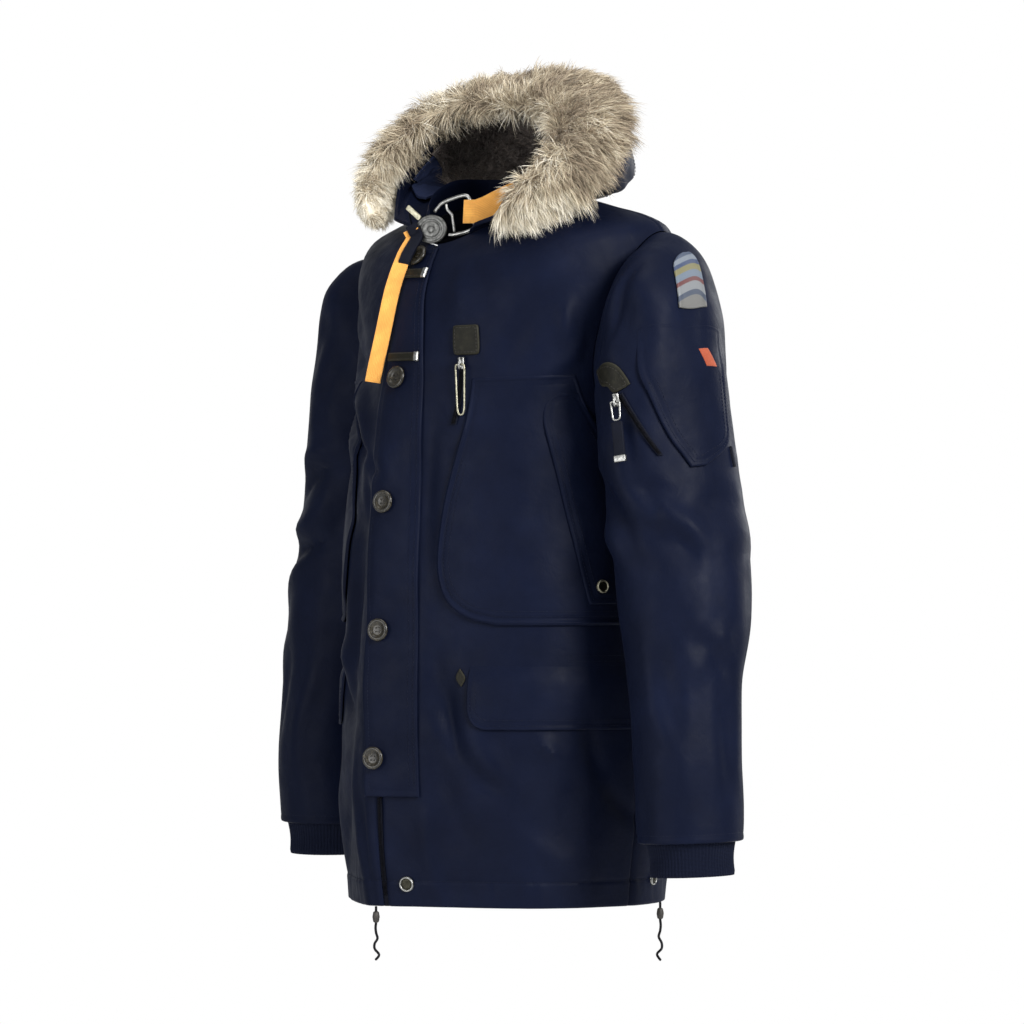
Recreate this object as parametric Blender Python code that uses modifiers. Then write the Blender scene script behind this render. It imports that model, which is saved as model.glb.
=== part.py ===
"""A long down parka with a fur-edged hood, worn shape, standing open and empty.

Every cut piece is a wall of its own: fronts, back, sleeves, rib cuffs, collar, hood, flaps and
pouches.  The leather, metal and webbing trims are separate solids.  Metres, +Z up, the front looks
along -Y, the wearer's left is +X.  The origin is inside the neck, where the shoulders carry the coat.
"""

import bisect
import functools
import math

import bmesh
import bpy
from mathutils import Matrix, Vector

# ---------------------------------------------------------------- driving dimensions
SHELL = 0.006  # down-filled wall of body and sleeves
CLOTH = 0.0025  # doubled cloth: flaps, pouches, collar
SEAM = 0.0003  # gap at a seam
HOOD_WALL = 0.0040
HOOD_SEAM = 0.0018  # half the gap between two hood panels, as a share of the opening
LIFT = 0.0009  # gap under a piece that lies on a panel
SMALL_LIFT = 0.0003  # and under a small one
FLAP_THICKNESS = 0.0028
FLAP_LIFT = 0.0015  # gap under the storm flap
POUCH_LIFT = 0.0017  # under a pouch
HIP_LIFT = 0.0012  # and under a hip flap
ON_POUCH = POUCH_LIFT + CLOTH  # height of a pouch's outer face over the body
ON_STORM_FLAP = FLAP_LIFT + FLAP_THICKNESS + 0.0004
HEM_Z = -0.741
SLEEVE_HEM_Z = -0.666
CUFF_END_Z = -0.702
CUFF_INSET = 0.004  # the rib cuff's end is this much narrower than the hem's inside
CUFF_HIDDEN = 0.030  # how far the cuff reaches up inside the sleeve
CUFF_GAP = 0.0007
AROUND = 52  # facets round the body
SIDE_SEAM = math.radians(96)
SIDE_SEAM_GAP = 0.002  # half the gap there, in radians
EDGE_CROWDING = 1.3  # how much closer the facets stand at the front edges
NECK_FRONT_ANGLE = math.radians(26)  # where the hood's front edges meet the neck
STAND_FRONT_ANGLE = math.radians(30)  # and the collar's
FRONT_GAP = 0.0030  # half the slit in which the front zip lies
TAPE_DEPTH = 0.0015  # how far the front zip lies behind the cloth's face
TAPE = 0.0018  # the short zips' thickness
FRONT_TAPE = 0.0030
BUTTON_R = 0.0124
SNAP_R = 0.0085
DISC_R = 0.0158
CORD_R = 0.0014
RUFF_HALF_WIDTH = 0.053
RUFF_HALF_DEPTH = 0.023
RUFF_END = 0.10  # share of the line over which the ruff's ends close
HOOK_AZIMUTH = math.radians(25)  # the way the neck hook faces
HOOK_PLACE = Vector((0.0120, -0.0935, 0.0075))

# Body sections from hem to neck.  level is the height at the side of the body.  keel is how sharply the
# stiff closure pushes the front out.
SECTION_COLUMNS = ("level", "z_front", "z_back", "half_width", "y_front", "y_side", "y_back", "square", "keel")
SECTIONS = (
    (-0.741, -0.741, -0.741, 0.184, -0.198, -0.004, 0.159, 2.00, 0.50),
    (-0.690, -0.690, -0.690, 0.188, -0.204, -0.002, 0.164, 2.00, 0.50),
    (-0.620, -0.620, -0.620, 0.191, -0.207, 0.000, 0.164, 2.05, 0.50),
    (-0.530, -0.530, -0.530, 0.192, -0.203, 0.002, 0.160, 2.10, 0.50),
    (-0.450, -0.450, -0.450, 0.191, -0.198, 0.004, 0.158, 2.10, 0.50),
    (-0.370, -0.370, -0.370, 0.187, -0.192, 0.008, 0.158, 2.15, 0.48),
    (-0.290, -0.290, -0.290, 0.180, -0.184, 0.012, 0.159, 2.20, 0.44),
    (-0.225, -0.225, -0.225, 0.176, -0.175, 0.016, 0.159, 2.25, 0.38),
    (-0.170, -0.175, -0.171, 0.183, -0.163, 0.020, 0.156, 2.30, 0.30),
    (-0.115, -0.126, -0.116, 0.194, -0.151, 0.024, 0.150, 2.35, 0.20),
    (-0.065, -0.086, -0.068, 0.204, -0.140, 0.027, 0.140, 2.35, 0.10),
    (-0.030, -0.064, -0.037, 0.206, -0.131, 0.029, 0.129, 2.30, 0.05),
    (-0.004, -0.050, -0.014, 0.198, -0.124, 0.031, 0.118, 2.20, 0.00),
    (0.010, -0.040, 0.004, 0.167, -0.118, 0.029, 0.104, 2.10, 0.00),
    (0.019, -0.031, 0.017, 0.129, -0.112, 0.023, 0.089, 2.00, 0.00),
    (0.026, -0.024, 0.026, 0.094, -0.105, 0.013, 0.077, 2.00, 0.00),
)
KEEL_TIP = 0.05
CLOSURE_DRIFT = ((-0.741, 0.021), (-0.30, 0.016), (-0.17, 0.012), (-0.05, 0.0), (0.03, 0.0))  # (z, arc)

# Sleeve sections below the cap: centre and radii, the wearer's left arm.
SLEEVE_COLUMNS = ("z", "x", "y", "r_side", "r_depth")
SLEEVE_SECTIONS = (
    (-0.262, 0.2530, 0.0090, 0.0620, 0.0810),
    (-0.303, 0.2610, 0.0110, 0.0650, 0.0800),
    (-0.367, 0.2737, 0.0115, 0.0680, 0.0765),
    (-0.431, 0.2862, 0.0035, 0.0670, 0.0725),
    (-0.495, 0.2955, -0.0045, 0.0600, 0.0635),
    (-0.580, 0.3055, -0.0105, 0.0565, 0.0590),
    (-0.645, 0.3075, -0.0085, 0.0555, 0.0575),
    (-0.666, 0.3080, -0.0080, 0.0550, 0.0570),
)

# The armhole is an ellipse seen from the side, leaning back at the top.
ARMHOLE_Z = (-0.012, -0.222)
ARMHOLE_Y = 0.030
ARMHOLE_LEAN = 0.16
ARMHOLE_HALF_DEPTH = 0.063
ARMHOLE_GAP = 0.0014
CAP_SWELL = 0.25  # how much fuller the cap is at the front of the shoulder
CAP_RISE = 2.6  # and how much flatter it leaves the seam there

# The ruff's middle line, from the top centre down to the front on the wearer's left.
# rise_right is how much higher the wearer's right side stands.
RUFF_COLUMNS = ("share", "x", "y", "z", "size", "rise_right")
RUFF_LINE = (
    (0.00, 0.000, 0.040, 0.147, 1.00, 0.000),
    (0.18, 0.078, 0.023, 0.139, 1.00, 0.009),
    (0.38, 0.132, -0.002, 0.113, 1.03, 0.015),
    (0.58, 0.157, -0.030, 0.079, 1.05, 0.012),
    (0.76, 0.154, -0.062, 0.044, 1.00, 0.008),
    (0.90, 0.132, -0.084, 0.016, 0.90, 0.005),
    (1.00, 0.108, -0.102, -0.002, 0.80, 0.003),
)

# Pieces on the wearer's left front: each row is a height and the arcs from the closure to both edges.
STORM_FLAP = ((-0.030, -0.030, 0.012), (-0.042, -0.032, 0.015), (-0.058, -0.034, 0.019),
              (-0.090, -0.035, 0.024), (-0.150, -0.033, 0.028), (-0.220, -0.029, 0.033),
              (-0.300, -0.027, 0.036), (-0.380, -0.025, 0.039), (-0.460, -0.022, 0.042),
              (-0.540, -0.019, 0.045), (-0.6225, -0.017, 0.048))
CHEST_POUCH = ((-0.172, 0.0865, 0.203), (-0.200, 0.0845, 0.216), (-0.228, 0.081, 0.236),
               (-0.265, 0.073, 0.262), (-0.303, 0.0655, 0.278), (-0.340, 0.061, 0.286),
               (-0.372, 0.0602, 0.291), (-0.395, 0.0645, 0.293), (-0.412, 0.073, 0.294),
               (-0.424, 0.087, 0.294), (-0.432, 0.104, 0.294), (-0.4375, 0.130, 0.294))
HAND_FLAP = ((-0.190, 0.184, 0.207), (-0.196, 0.173, 0.212), (-0.206, 0.168, 0.218), (-0.225, 0.169, 0.230),
             (-0.270, 0.183, 0.258), (-0.320, 0.198, 0.277), (-0.370, 0.2135, 0.286),
             (-0.405, 0.2243, 0.288), (-0.415, 0.2285, 0.286))
HIP_FLAP = ((-0.480, 0.101, 0.297), (-0.505, 0.100, 0.297), (-0.527, 0.1005, 0.298), (-0.538, 0.104, 0.298),
            (-0.545, 0.110, 0.297), (-0.5495, 0.121, 0.294))
POUCH_CORNER = ((-0.484, 0.0905, 0.0915), (-0.494, 0.0865, 0.0975), (-0.503, 0.0925, 0.0935))
BAR_UPPER = (-0.0590, -0.0195, 0.0190)  # height, and the arcs of both ends
BAR_LOWER = (-0.1490, -0.0210, 0.0245)
BAR_HALF_WIDTH = 0.0045
BAR_THICKNESS = 0.0030
CHEST_ZIP = ((-0.150, 0.0735, 0.0800), (-0.172, 0.0730, 0.0795), (-0.200, 0.0710, 0.0775),
             (-0.222, 0.0670, 0.0735))
CHEST_TAB = ((-0.1165, 0.070, 0.0935), (-0.1200, 0.0665, 0.0970), (-0.1440, 0.0665, 0.0970),
             (-0.1480, 0.070, 0.0935))
CHEST_SLIDER = (0.0765, -0.1570)  # (arc, z)
HEM_SNAP = (0.0272, -0.7162)
VENT_SNAP = (0.3300, -0.7135)
POCKET_SNAP = (0.2400, -0.3963)

# Pieces on the left sleeve: each row is a share of the way down and the turns of both edges.
BADGE = ((0.232, 1.24, 1.37), (0.246, 1.17, 1.43), (0.272, 1.115, 1.49), (0.310, 1.08, 1.54),
         (0.380, 1.085, 1.585), (0.495, 1.115, 1.640))
SIZE_LABEL = ((0.648, 1.46, 1.65), (0.712, 1.60, 1.81))
SLEEVE_FLAP = ((0.560, 0.66, 2.02), (0.700, 0.665, 2.05), (0.780, 0.77, 2.06), (0.876, 0.915, 2.065),
               (0.950, 1.05, 2.065), (1.000, 1.17, 1.90), (1.040, 1.275, 1.50))
SLEEVE_TAB = ((0.425, -0.06, -0.02), (0.557, 0.022, 0.238), (0.636, 0.16, 0.40), (0.706, 0.284, 0.52),
              (0.727, 0.46, 0.55))
SLEEVE_ZIP = ((0.735, 0.330, 0.420), (0.830, 0.480, 0.570), (0.920, 0.650, 0.740), (1.000, 0.830, 0.910))
SLEEVE_SLIDER = (0.325, 0.745)  # (turn, along)
FLAP_STRAP = ((0.985, 2.105, 2.165), (1.045, 2.105, 2.165))

BUTTONS = ((-0.0093, -0.0400), (-0.0035, -0.1715), (-0.0053, -0.3050), (-0.0043, -0.4430), (-0.0047, -0.5810))
HANG_STRAP = ((-0.0225, -0.0280), (-0.0210, -0.0400), (-0.0190, -0.0600), (-0.0196, -0.0889),
              (-0.0245, -0.1263), (-0.0315, -0.1640), (-0.0330, -0.1780))  # (arc, z)
STRAP_TOP = Vector((-0.0275, -0.1195, -0.0065))
STRAP_OUT = 0.0150  # how far the strap hangs in front of the cloth
STRAP_AZIMUTH = math.radians(35)

# Outlines of the turned pieces, (radius, height) from the top down the outer side.
BUTTON_PROFILE = tuple((BUTTON_R * r, h) for r, h in (
    (0.0, 0.0024), (0.50, 0.0024), (0.60, 0.0034), (0.78, 0.0042), (0.93, 0.0036), (1.0, 0.0022),
    (0.90, 0.0004), (0.60, 0.0), (0.0, 0.0)))
SNAP_PROFILE = tuple((SNAP_R * r, h) for r, h in (
    (0.0, 0.0018), (0.45, 0.0018), (0.62, 0.0030), (0.85, 0.0030), (1.0, 0.0014), (1.0, 0.0), (0.0, 0.0)))
DISC_PROFILE = tuple((DISC_R * r, h) for r, h in (
    (0.0, 0.0030), (0.62, 0.0030), (0.70, 0.0036), (0.90, 0.0036), (1.0, 0.0024), (1.0, 0.0), (0.0, 0.0)))
BEAD_PROFILE = ((CORD_R + 0.0003, 0.006), (0.0034, 0.005), (0.0040, 0.0), (0.0034, -0.005),
                (CORD_R + 0.0003, -0.006), (CORD_R + 0.0003, 0.006))

# The neck hook, (x, y) as the wearer's front sees it.
HOOK_RAIL = ((-0.0203, 0.0036), (-0.0160, 0.0085), (-0.0105, 0.0135), (0.0000, 0.0175), (0.0100, 0.0203),
             (0.0165, 0.0212), (0.0210, 0.0190), (0.0235, 0.0120), (0.0250, 0.0020), (0.0270, -0.0070),
             (0.0285, -0.0125), (0.0245, -0.0160), (0.0150, -0.0192), (0.0020, -0.0215), (-0.0035, -0.0213))
HOOK_RAIL_R = 0.0021
HOOK_GATE = ((-0.0062, 0.0126), (-0.0045, 0.0060), (0.0005, 0.0005), (0.0020, -0.0065), (0.0030, -0.0125),
             (0.0038, -0.0183))
HOOK_GATE_R = 0.0016
DISC_PLACE = (-0.0237, -0.0148, -0.0012)
DISC_STRETCH = 1.2
TONGUE_PLACE = (-0.0455, 0.0036, -0.0014)
TONGUE_TURN = math.radians(-40)

# The zips' pulls: the ring's wire, half width 1 and length 1, from its hinge bar down.
PULL_WIRE = ((-0.75, 0.0), (0.75, 0.0), (0.98, 0.05), (1.0, 0.15), (0.9, 0.5), (0.8, 0.85), (0.55, 0.97),
             (0.0, 1.0), (-0.55, 0.97), (-0.8, 0.85), (-0.9, 0.5), (-1.0, 0.15), (-0.98, 0.05))
PULL_HALF_WIDTH = 0.0052
PULL_WIRE_R = 0.0011
HINGE = (0, -0.0018, 0.0044)  # the hinge bar's place over the slider's middle
SLIDER_HALF_WIDTH = 0.0030

PANEL_LEVELS = (-0.741, -0.665, -0.580, -0.495, -0.415, -0.345, -0.285, -0.232, -0.180, -0.130, -0.085, -0.048,
                -0.020, 0.000, 0.014, 0.026)
SLEEVE_ROWS = (0, 0.08, 0.19, 0.34, 0.54, 0.78, 1.0, 1.18, 1.36, 1.56, 1.78, 2.0)


# ---------------------------------------------------------------- curves through tables
def through(xs, ys, x):
    """A smooth curve through the points (xs, ys), read at one x."""
    if xs[0] > xs[-1]:
        xs, ys = xs[::-1], ys[::-1]
    x = min(max(x, xs[0]), xs[-1])
    i = min(max(bisect.bisect_right(xs, x) - 1, 0), len(xs) - 2)

    def slope(k):
        low, high = max(k - 1, 0), min(k + 1, len(xs) - 1)
        return (ys[high] - ys[low]) / (xs[high] - xs[low])

    step = xs[i + 1] - xs[i]
    t = (x - xs[i]) / step
    return ((2 * t**3 - 3 * t**2 + 1) * ys[i] + (t**3 - 2 * t**2 + t) * step * slope(i)
            + (3 * t**2 - 2 * t**3) * ys[i + 1] + (t**3 - t**2) * step * slope(i + 1))


def column(table, columns, name):
    return [row[columns.index(name)] for row in table]


SECTION_CURVES = {name: column(SECTIONS, SECTION_COLUMNS, name) for name in SECTION_COLUMNS}
TOP_LEVEL = SECTION_CURVES["level"][-1]


@functools.lru_cache(maxsize=None)
def section(name, level):
    return through(SECTION_CURVES["level"], SECTION_CURVES[name], level)


# ---------------------------------------------------------------- the body's surface
@functools.lru_cache(maxsize=None)
def body_point(angle, level):
    """A point of the body. angle is from the centre front, towards the wearer's left."""
    side, ahead = math.sin(angle), math.cos(angle)
    y_side, power = section("y_side", level), 2 / section("square", level)
    x = section("half_width", level) * math.copysign(abs(side) ** power, side)
    if ahead > 0:
        bow = abs(side) ** 2 / (abs(side) + KEEL_TIP) * (1 - abs(side))
        y = y_side - (y_side - section("y_front", level)) * (ahead**power - section("keel", level) * bow)
        z = level + (section("z_front", level) - level) * ahead**2
    else:
        y = y_side + (section("y_back", level) - y_side) * (-ahead) ** power
        z = level + (section("z_back", level) - level) * ahead**2
    return Vector((x, y, z))


def body_normal(angle, level):
    e = 0.002
    across = body_point(angle + e, level) - body_point(angle - e, level)
    up = body_point(angle, min(level + e, TOP_LEVEL)) - body_point(angle, level - e)
    return across.cross(up).normalized()


ARC_STEPS = 120


@functools.lru_cache(maxsize=None)
def girth(level):
    """Girth from the keel's middle round to the back, at each of ARC_STEPS angles."""
    total, last, lengths = 0.0, body_point(0.0, level), [0.0]
    for i in range(1, ARC_STEPS + 1):
        here = body_point(math.pi * i / ARC_STEPS, level)
        total += (here - last).length
        lengths.append(total)
        last = here
    return lengths


def arc_angle(arc, level):
    """The angle at which the girth at this level, from the keel's middle, is arc."""
    lengths = girth(level)
    i = min(bisect.bisect_right(lengths, abs(arc)) - 1, ARC_STEPS - 1)
    share = (abs(arc) - lengths[i]) / (lengths[i + 1] - lengths[i])
    return math.copysign(math.pi * (i + share) / ARC_STEPS, arc)


def drift(level):
    """How far round from the keel's middle the front closure runs at this level."""
    return through([row[0] for row in CLOSURE_DRIFT], [row[1] for row in CLOSURE_DRIFT], level)


def front_level(z):
    """The level whose centre front is at height z."""
    return through(SECTION_CURVES["z_front"], SECTION_CURVES["level"], z)


def on_body(arc, z, out=0.0):
    """A point on the body, arc metres round from the front closure at height z, moved out of the cloth."""
    level = front_level(z)
    angle = arc_angle(arc + drift(level), level)
    return body_point(angle, level) + body_normal(angle, level) * out


def frame_on_body(arc, z, out=0.0):
    """A matrix on the body: +Z out of the cloth, +Y up it, +X to the wearer's left."""
    here = on_body(arc, z, out)
    normal = (on_body(arc, z, out + 0.01) - here).normalized()
    up = (on_body(arc, z + 0.01, out) - on_body(arc, z - 0.01, out)).normalized()
    across = up.cross(normal).normalized()
    return frame(here, across, normal.cross(across), normal)


def frame(place, x, y, z):
    return Matrix((
        (x.x, y.x, z.x, place.x),
        (x.y, y.y, z.y, place.y),
        (x.z, y.z, z.z, place.z),
        (0, 0, 0, 1),
    ))


# ---------------------------------------------------------------- the armhole and sleeve
def armhole_yz(turn, shrink=0.0):
    """Armhole edge seen from the side. turn is 0 at the front, a quarter turn at the shoulder."""
    top, bottom = ARMHOLE_Z
    half = (top - bottom) / 2 - shrink
    z = (top + bottom) / 2 + half * math.sin(turn)
    lean = ARMHOLE_LEAN * (z - (top + bottom) / 2)
    return ARMHOLE_Y + lean - (ARMHOLE_HALF_DEPTH - shrink) * math.cos(turn), z


def body_x(y, z):
    """How far the body's left side stands out at this depth and height."""
    level = z
    for _ in range(14):
        low, high = 0.02, math.pi - 0.02
        for _ in range(26):
            middle = (low + high) / 2
            if body_point(middle, level).y < y:
                low = middle
            else:
                high = middle
        point = body_point((low + high) / 2, level)
        level = min(level + (z - point.z), TOP_LEVEL)
    return point.x


@functools.lru_cache(maxsize=None)
def sleeve_section(name, z):
    heights, values = (column(SLEEVE_SECTIONS, SLEEVE_COLUMNS, wanted) for wanted in ("z", name))
    return through(heights, values, z)


def sleeve_frame(z):
    """Centre of the sleeve at height z, its run, and the outward and forward directions."""
    step = 0.01
    low, high = max(z - step, SLEEVE_HEM_Z), min(z + step, SLEEVE_SECTIONS[0][0])
    centre = Vector((sleeve_section("x", z), sleeve_section("y", z), z))
    run = Vector((sleeve_section("x", low) - sleeve_section("x", high),
                  sleeve_section("y", low) - sleeve_section("y", high), low - high)).normalized()
    forward = (Vector((0, -1, 0)) + run * run.y).normalized()
    outward = forward.cross(run).normalized()
    if outward.x < 0:
        outward = -outward
    return centre, run, outward, forward


def sleeve_ring(turn, z):
    centre, _, outward, forward = sleeve_frame(z)
    return (centre + outward * sleeve_section("r_side", z) * math.sin(turn)
            + forward * sleeve_section("r_depth", z) * math.cos(turn))


CAP_TURNS = 64
CAP_EDGE = []


def cap_edge(turn):
    """The armhole edge in space, read from a table that is filled once."""
    if not CAP_EDGE:
        for i in range(CAP_TURNS):
            y, z = armhole_yz(2 * math.pi * i / CAP_TURNS, ARMHOLE_GAP)
            CAP_EDGE.append(Vector((body_x(y, z), y, z)))
    place = (turn / (2 * math.pi) * CAP_TURNS) % CAP_TURNS
    i = int(place)
    return CAP_EDGE[i].lerp(CAP_EDGE[(i + 1) % CAP_TURNS], place - i)


def cap_leave(turn):
    """The way the sleeve leaves the armhole: along the shoulder at the top, out and down below."""
    up, fore = math.sin(turn), math.cos(turn)
    rise = CAP_RISE * max(up, 0) * max(fore, 0)
    flank = Vector((0.80, -(0.70 + 0.9 * max(up, 0) if fore > 0 else 0.40) * fore, -0.30 + rise)) * (1 - up**2)
    way = flank + (Vector((0.95, 0, -0.12)) if up > 0 else Vector((0.62, 0, -0.78))) * up**2
    return way.normalized()


def sleeve_point(turn, along):
    """along is 0 to 1 over the cap and 1 to 2 down the arm to the hem."""
    top = SLEEVE_SECTIONS[0][0]
    if along >= 1:
        return sleeve_ring(turn, top + (along - 1) * (SLEEVE_HEM_Z - top))
    start, end = cap_edge(turn), sleeve_ring(turn, top)
    _, run, _, _ = sleeve_frame(top)
    reach = (end - start).length * 1.15
    swell = 1 + 2 * CAP_SWELL * max(math.sin(turn), 0) * max(math.cos(turn), 0)
    square, cube = along**2, along**3
    return (start * (2 * cube - 3 * square + 1) + cap_leave(turn) * reach * swell * (cube - 2 * square + along)
            + end * (3 * square - 2 * cube) + run * reach * (cube - square))


def sleeve_normal(turn, along):
    e = 0.01
    around = sleeve_point(turn + e, along) - sleeve_point(turn - e, along)
    down = sleeve_point(turn, min(along + e, 2)) - sleeve_point(turn, max(along - e, 0))
    return down.cross(around).normalized()


def frame_on_sleeve(turn, along, out):
    here = sleeve_point(turn, along)
    normal = sleeve_normal(turn, along)
    up = (sleeve_point(turn, along - 0.02) - sleeve_point(turn, along + 0.02)).normalized()
    across = up.cross(normal).normalized()
    return frame(here + normal * out, across, normal.cross(across), normal)


# ---------------------------------------------------------------- the hood's surface
def ruff_value(name, share):
    shares, values = column(RUFF_LINE, RUFF_COLUMNS, "share"), column(RUFF_LINE, RUFF_COLUMNS, name)
    sign = -1 if name == "x" else 1
    return through([-v for v in shares[:0:-1]] + shares, [sign * v for v in values[:0:-1]] + values, share)


def ruff_frame(share):
    """Middle of the fur band, its width (outwards and back) and its depth (outwards and forward)."""
    middle = Vector([ruff_value(name, share) for name in ("x", "y", "z")])
    if share < 0:
        middle.z += ruff_value("rise_right", share)
    out = Vector((middle.x, 0, middle.z - 0.035)).normalized()
    back = Vector((0, 1, 0))
    return middle, out * 0.5 + back * 0.866, out * 0.866 - back * 0.5


def hood_point(share, rise):
    """share runs -1 to 1 from front to front, round the back; rise is 0 at the neck, 1 at the opening."""
    angle = math.copysign(math.pi - (math.pi - NECK_FRONT_ANGLE) * abs(share), share if share else 1)
    start = body_point(angle, TOP_LEVEL) + Vector((0, 0, 0.0012))
    middle, width, depth = ruff_frame(share)
    end = middle - depth * (RUFF_HALF_DEPTH * ruff_value("size", share) + 0.0016 + 0.0016 * abs(share))
    away = Vector((math.sin(angle), -math.cos(angle), 0))
    full = 1 - abs(share) ** 5
    slump = start + away * (0.004 + 0.076 * full) + Vector((0, 0, 0.010 - 0.003 * full))
    above = end + width * (0.004 + 0.058 * full) - Vector((0, 0, 0.004))
    left = 1 - rise
    return start * left**3 + slump * 3 * rise * left**2 + above * 3 * rise**2 * left + end * rise**3


def stand_point(angle, rise, inside):
    """The collar inside the hood: rise 0 to 1 up it, inside metres in from its outer face."""
    away = Vector((math.sin(angle), -math.cos(angle), 0))
    return (body_point(angle, TOP_LEVEL) - away * (0.0046 + 0.004 * rise + inside)
            + Vector((0, 0, -0.006 + 0.034 * rise)))


def hood_normal(share, rise):
    e = 0.01
    across = hood_point(min(share + e, 1), rise) - hood_point(max(share - e, -1), rise)
    up = hood_point(share, min(rise + e, 1)) - hood_point(share, max(rise - e, 0))
    return up.cross(across).normalized()


# ---------------------------------------------------------------- making objects
PARKA = None
CUTTERS = None


def start_scene():
    global PARKA, CUTTERS
    for thing in list(bpy.data.objects):
        bpy.data.objects.remove(thing)
    PARKA = bpy.data.collections.new("parka")
    CUTTERS = bpy.data.collections.new("cutters")
    for group in (PARKA, CUTTERS):
        bpy.context.scene.collection.children.link(group)


FINISHES = {
    "navy_shell": ((0.012, 0.019, 0.048), 0.62, 0.0),
    "navy_rib": ((0.009, 0.014, 0.036), 0.90, 0.0),
    "pile_lining": ((0.045, 0.032, 0.024), 0.95, 0.0),
    "fur": ((0.52, 0.43, 0.31), 0.95, 0.0),
    "leather": ((0.050, 0.036, 0.022), 0.55, 0.0),
    "horn_button": ((0.060, 0.045, 0.030), 0.35, 0.0),
    "steel": ((0.62, 0.62, 0.60), 0.28, 1.0),
    "old_brass": ((0.42, 0.36, 0.22), 0.35, 1.0),
    "webbing": ((0.80, 0.40, 0.09), 0.75, 0.0),
    "orange_tag": ((0.85, 0.13, 0.04), 0.70, 0.0),
    "badge": ((0.45, 0.42, 0.38), 0.85, 0.0),
    "black_cord": ((0.012, 0.012, 0.014), 0.80, 0.0),
}


def finish(name):
    if name in bpy.data.materials:
        return bpy.data.materials[name]
    colour, roughness, metallic = FINISHES[name]
    made = bpy.data.materials.new(name)
    made.use_nodes = True
    shader = made.node_tree.nodes["Principled BSDF"]
    shader.inputs["Base Color"].default_value = (*colour, 1)
    shader.inputs["Roughness"].default_value = roughness
    shader.inputs["Metallic"].default_value = metallic
    return made


def add_object(name, data, slot, group=None):
    thing = bpy.data.objects.new(name, data)
    (group or PARKA).objects.link(thing)
    if slot:
        data.materials.append(finish(slot))
    return thing


def mesh_from(name, shape, slot, group=None):
    """Turns a bmesh into an object."""
    data = bpy.data.meshes.new(name)
    shape.to_mesh(data)
    shape.free()
    return add_object(name, data, slot, group)


def block(name, across, along, place, slot, joined=False, group=None):
    """A curved slab: place(u, v, w) gives its points, u across, v along, w 0 outside and 1 inside.
    joined closes it round u."""
    shape = bmesh.new()
    bmesh.ops.create_grid(shape, x_segments=across, y_segments=along, size=0.5)
    made = bmesh.ops.extrude_face_region(shape, geom=shape.faces[:], use_keep_orig=True)
    for corner in made["geom"]:
        if isinstance(corner, bmesh.types.BMVert):
            corner.co.z = 1
    if joined:
        ends = [f for f in shape.faces if len({round(c.co.x, 4) for c in f.verts}) == 1
                and abs(f.calc_center_median().x) > 0.499]
        bmesh.ops.delete(shape, geom=ends, context="FACES")
    for corner in shape.verts:
        corner.co = place(corner.co.x + 0.5, corner.co.y + 0.5, corner.co.z)
    if joined:
        bmesh.ops.remove_doubles(shape, verts=shape.verts, dist=1e-6)
    return mesh_from(name, outward(shape), slot, group)


def outward(shape):
    """Turns a closed shape's faces to look out."""
    bmesh.ops.recalc_face_normals(shape, faces=shape.faces)
    if shape.calc_volume(signed=True) < 0:
        bmesh.ops.reverse_faces(shape, faces=shape.faces)
    return shape


def cut(thing, cutter):
    boolean = thing.modifiers.new("cut", "BOOLEAN")
    boolean.operation = "DIFFERENCE"
    boolean.object = cutter
    return thing


def turned(name, profile, slot, place, steps=16):
    """A turned piece about local Z. profile is (radius, height) from the top down its outer side."""
    shape = bmesh.new()
    corners = [shape.verts.new((r, 0, h)) for r, h in profile]
    for a, b in zip(corners, corners[1:]):
        shape.edges.new((a, b))
    thing = mesh_from(name, shape, slot)
    screw = thing.modifiers.new("turn", "SCREW")
    screw.steps = screw.render_steps = steps
    screw.use_merge_vertices = True
    screw.merge_threshold = 0.00001
    thing.matrix_world = place
    return thing


def tube(name, points, radius, slot, place=None, ring=False, sides=2):
    """A round bar or cord along points."""
    data = bpy.data.curves.new(name, "CURVE")
    data.dimensions = "3D"
    data.bevel_depth = radius
    data.bevel_resolution = sides
    data.use_fill_caps = not ring
    line = data.splines.new("POLY")
    line.points.add(len(points) - 1)
    for spot, point in zip(line.points, points):
        spot.co = (*point, 1)
    line.use_cyclic_u = ring
    thing = add_object(name, data, slot)
    if place is not None:
        thing.matrix_world = place
    return thing


def plate(name, outline, thickness, slot, place, bevel=0.0):
    """A flat piece of this outline, standing on the local XY plane."""
    data = bpy.data.curves.new(name, "CURVE")
    data.dimensions = "2D"
    data.fill_mode = "BOTH"
    data.extrude = thickness / 2
    data.bevel_depth = bevel
    line = data.splines.new("POLY")
    line.points.add(len(outline) - 1)
    for spot, (x, y) in zip(line.points, outline):
        spot.co = (x, y, 0, 1)
    line.use_cyclic_u = True
    thing = add_object(name, data, slot)
    thing.matrix_world = place @ Matrix.Translation((0, 0, thickness / 2 + bevel))
    return thing


def rounded_box(half_x, half_y, radius, steps=3):
    """The outline of a rectangle with round corners."""
    outline = []
    for corner, (sx, sy) in enumerate(((1, 1), (-1, 1), (-1, -1), (1, -1))):
        for i in range(steps + 1):
            turn = math.pi / 2 * (corner + i / steps)
            outline.append((sx * (half_x - radius) + radius * math.cos(turn),
                            sy * (half_y - radius) + radius * math.sin(turn)))
    return outline


# ---------------------------------------------------------------- body panels

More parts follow.
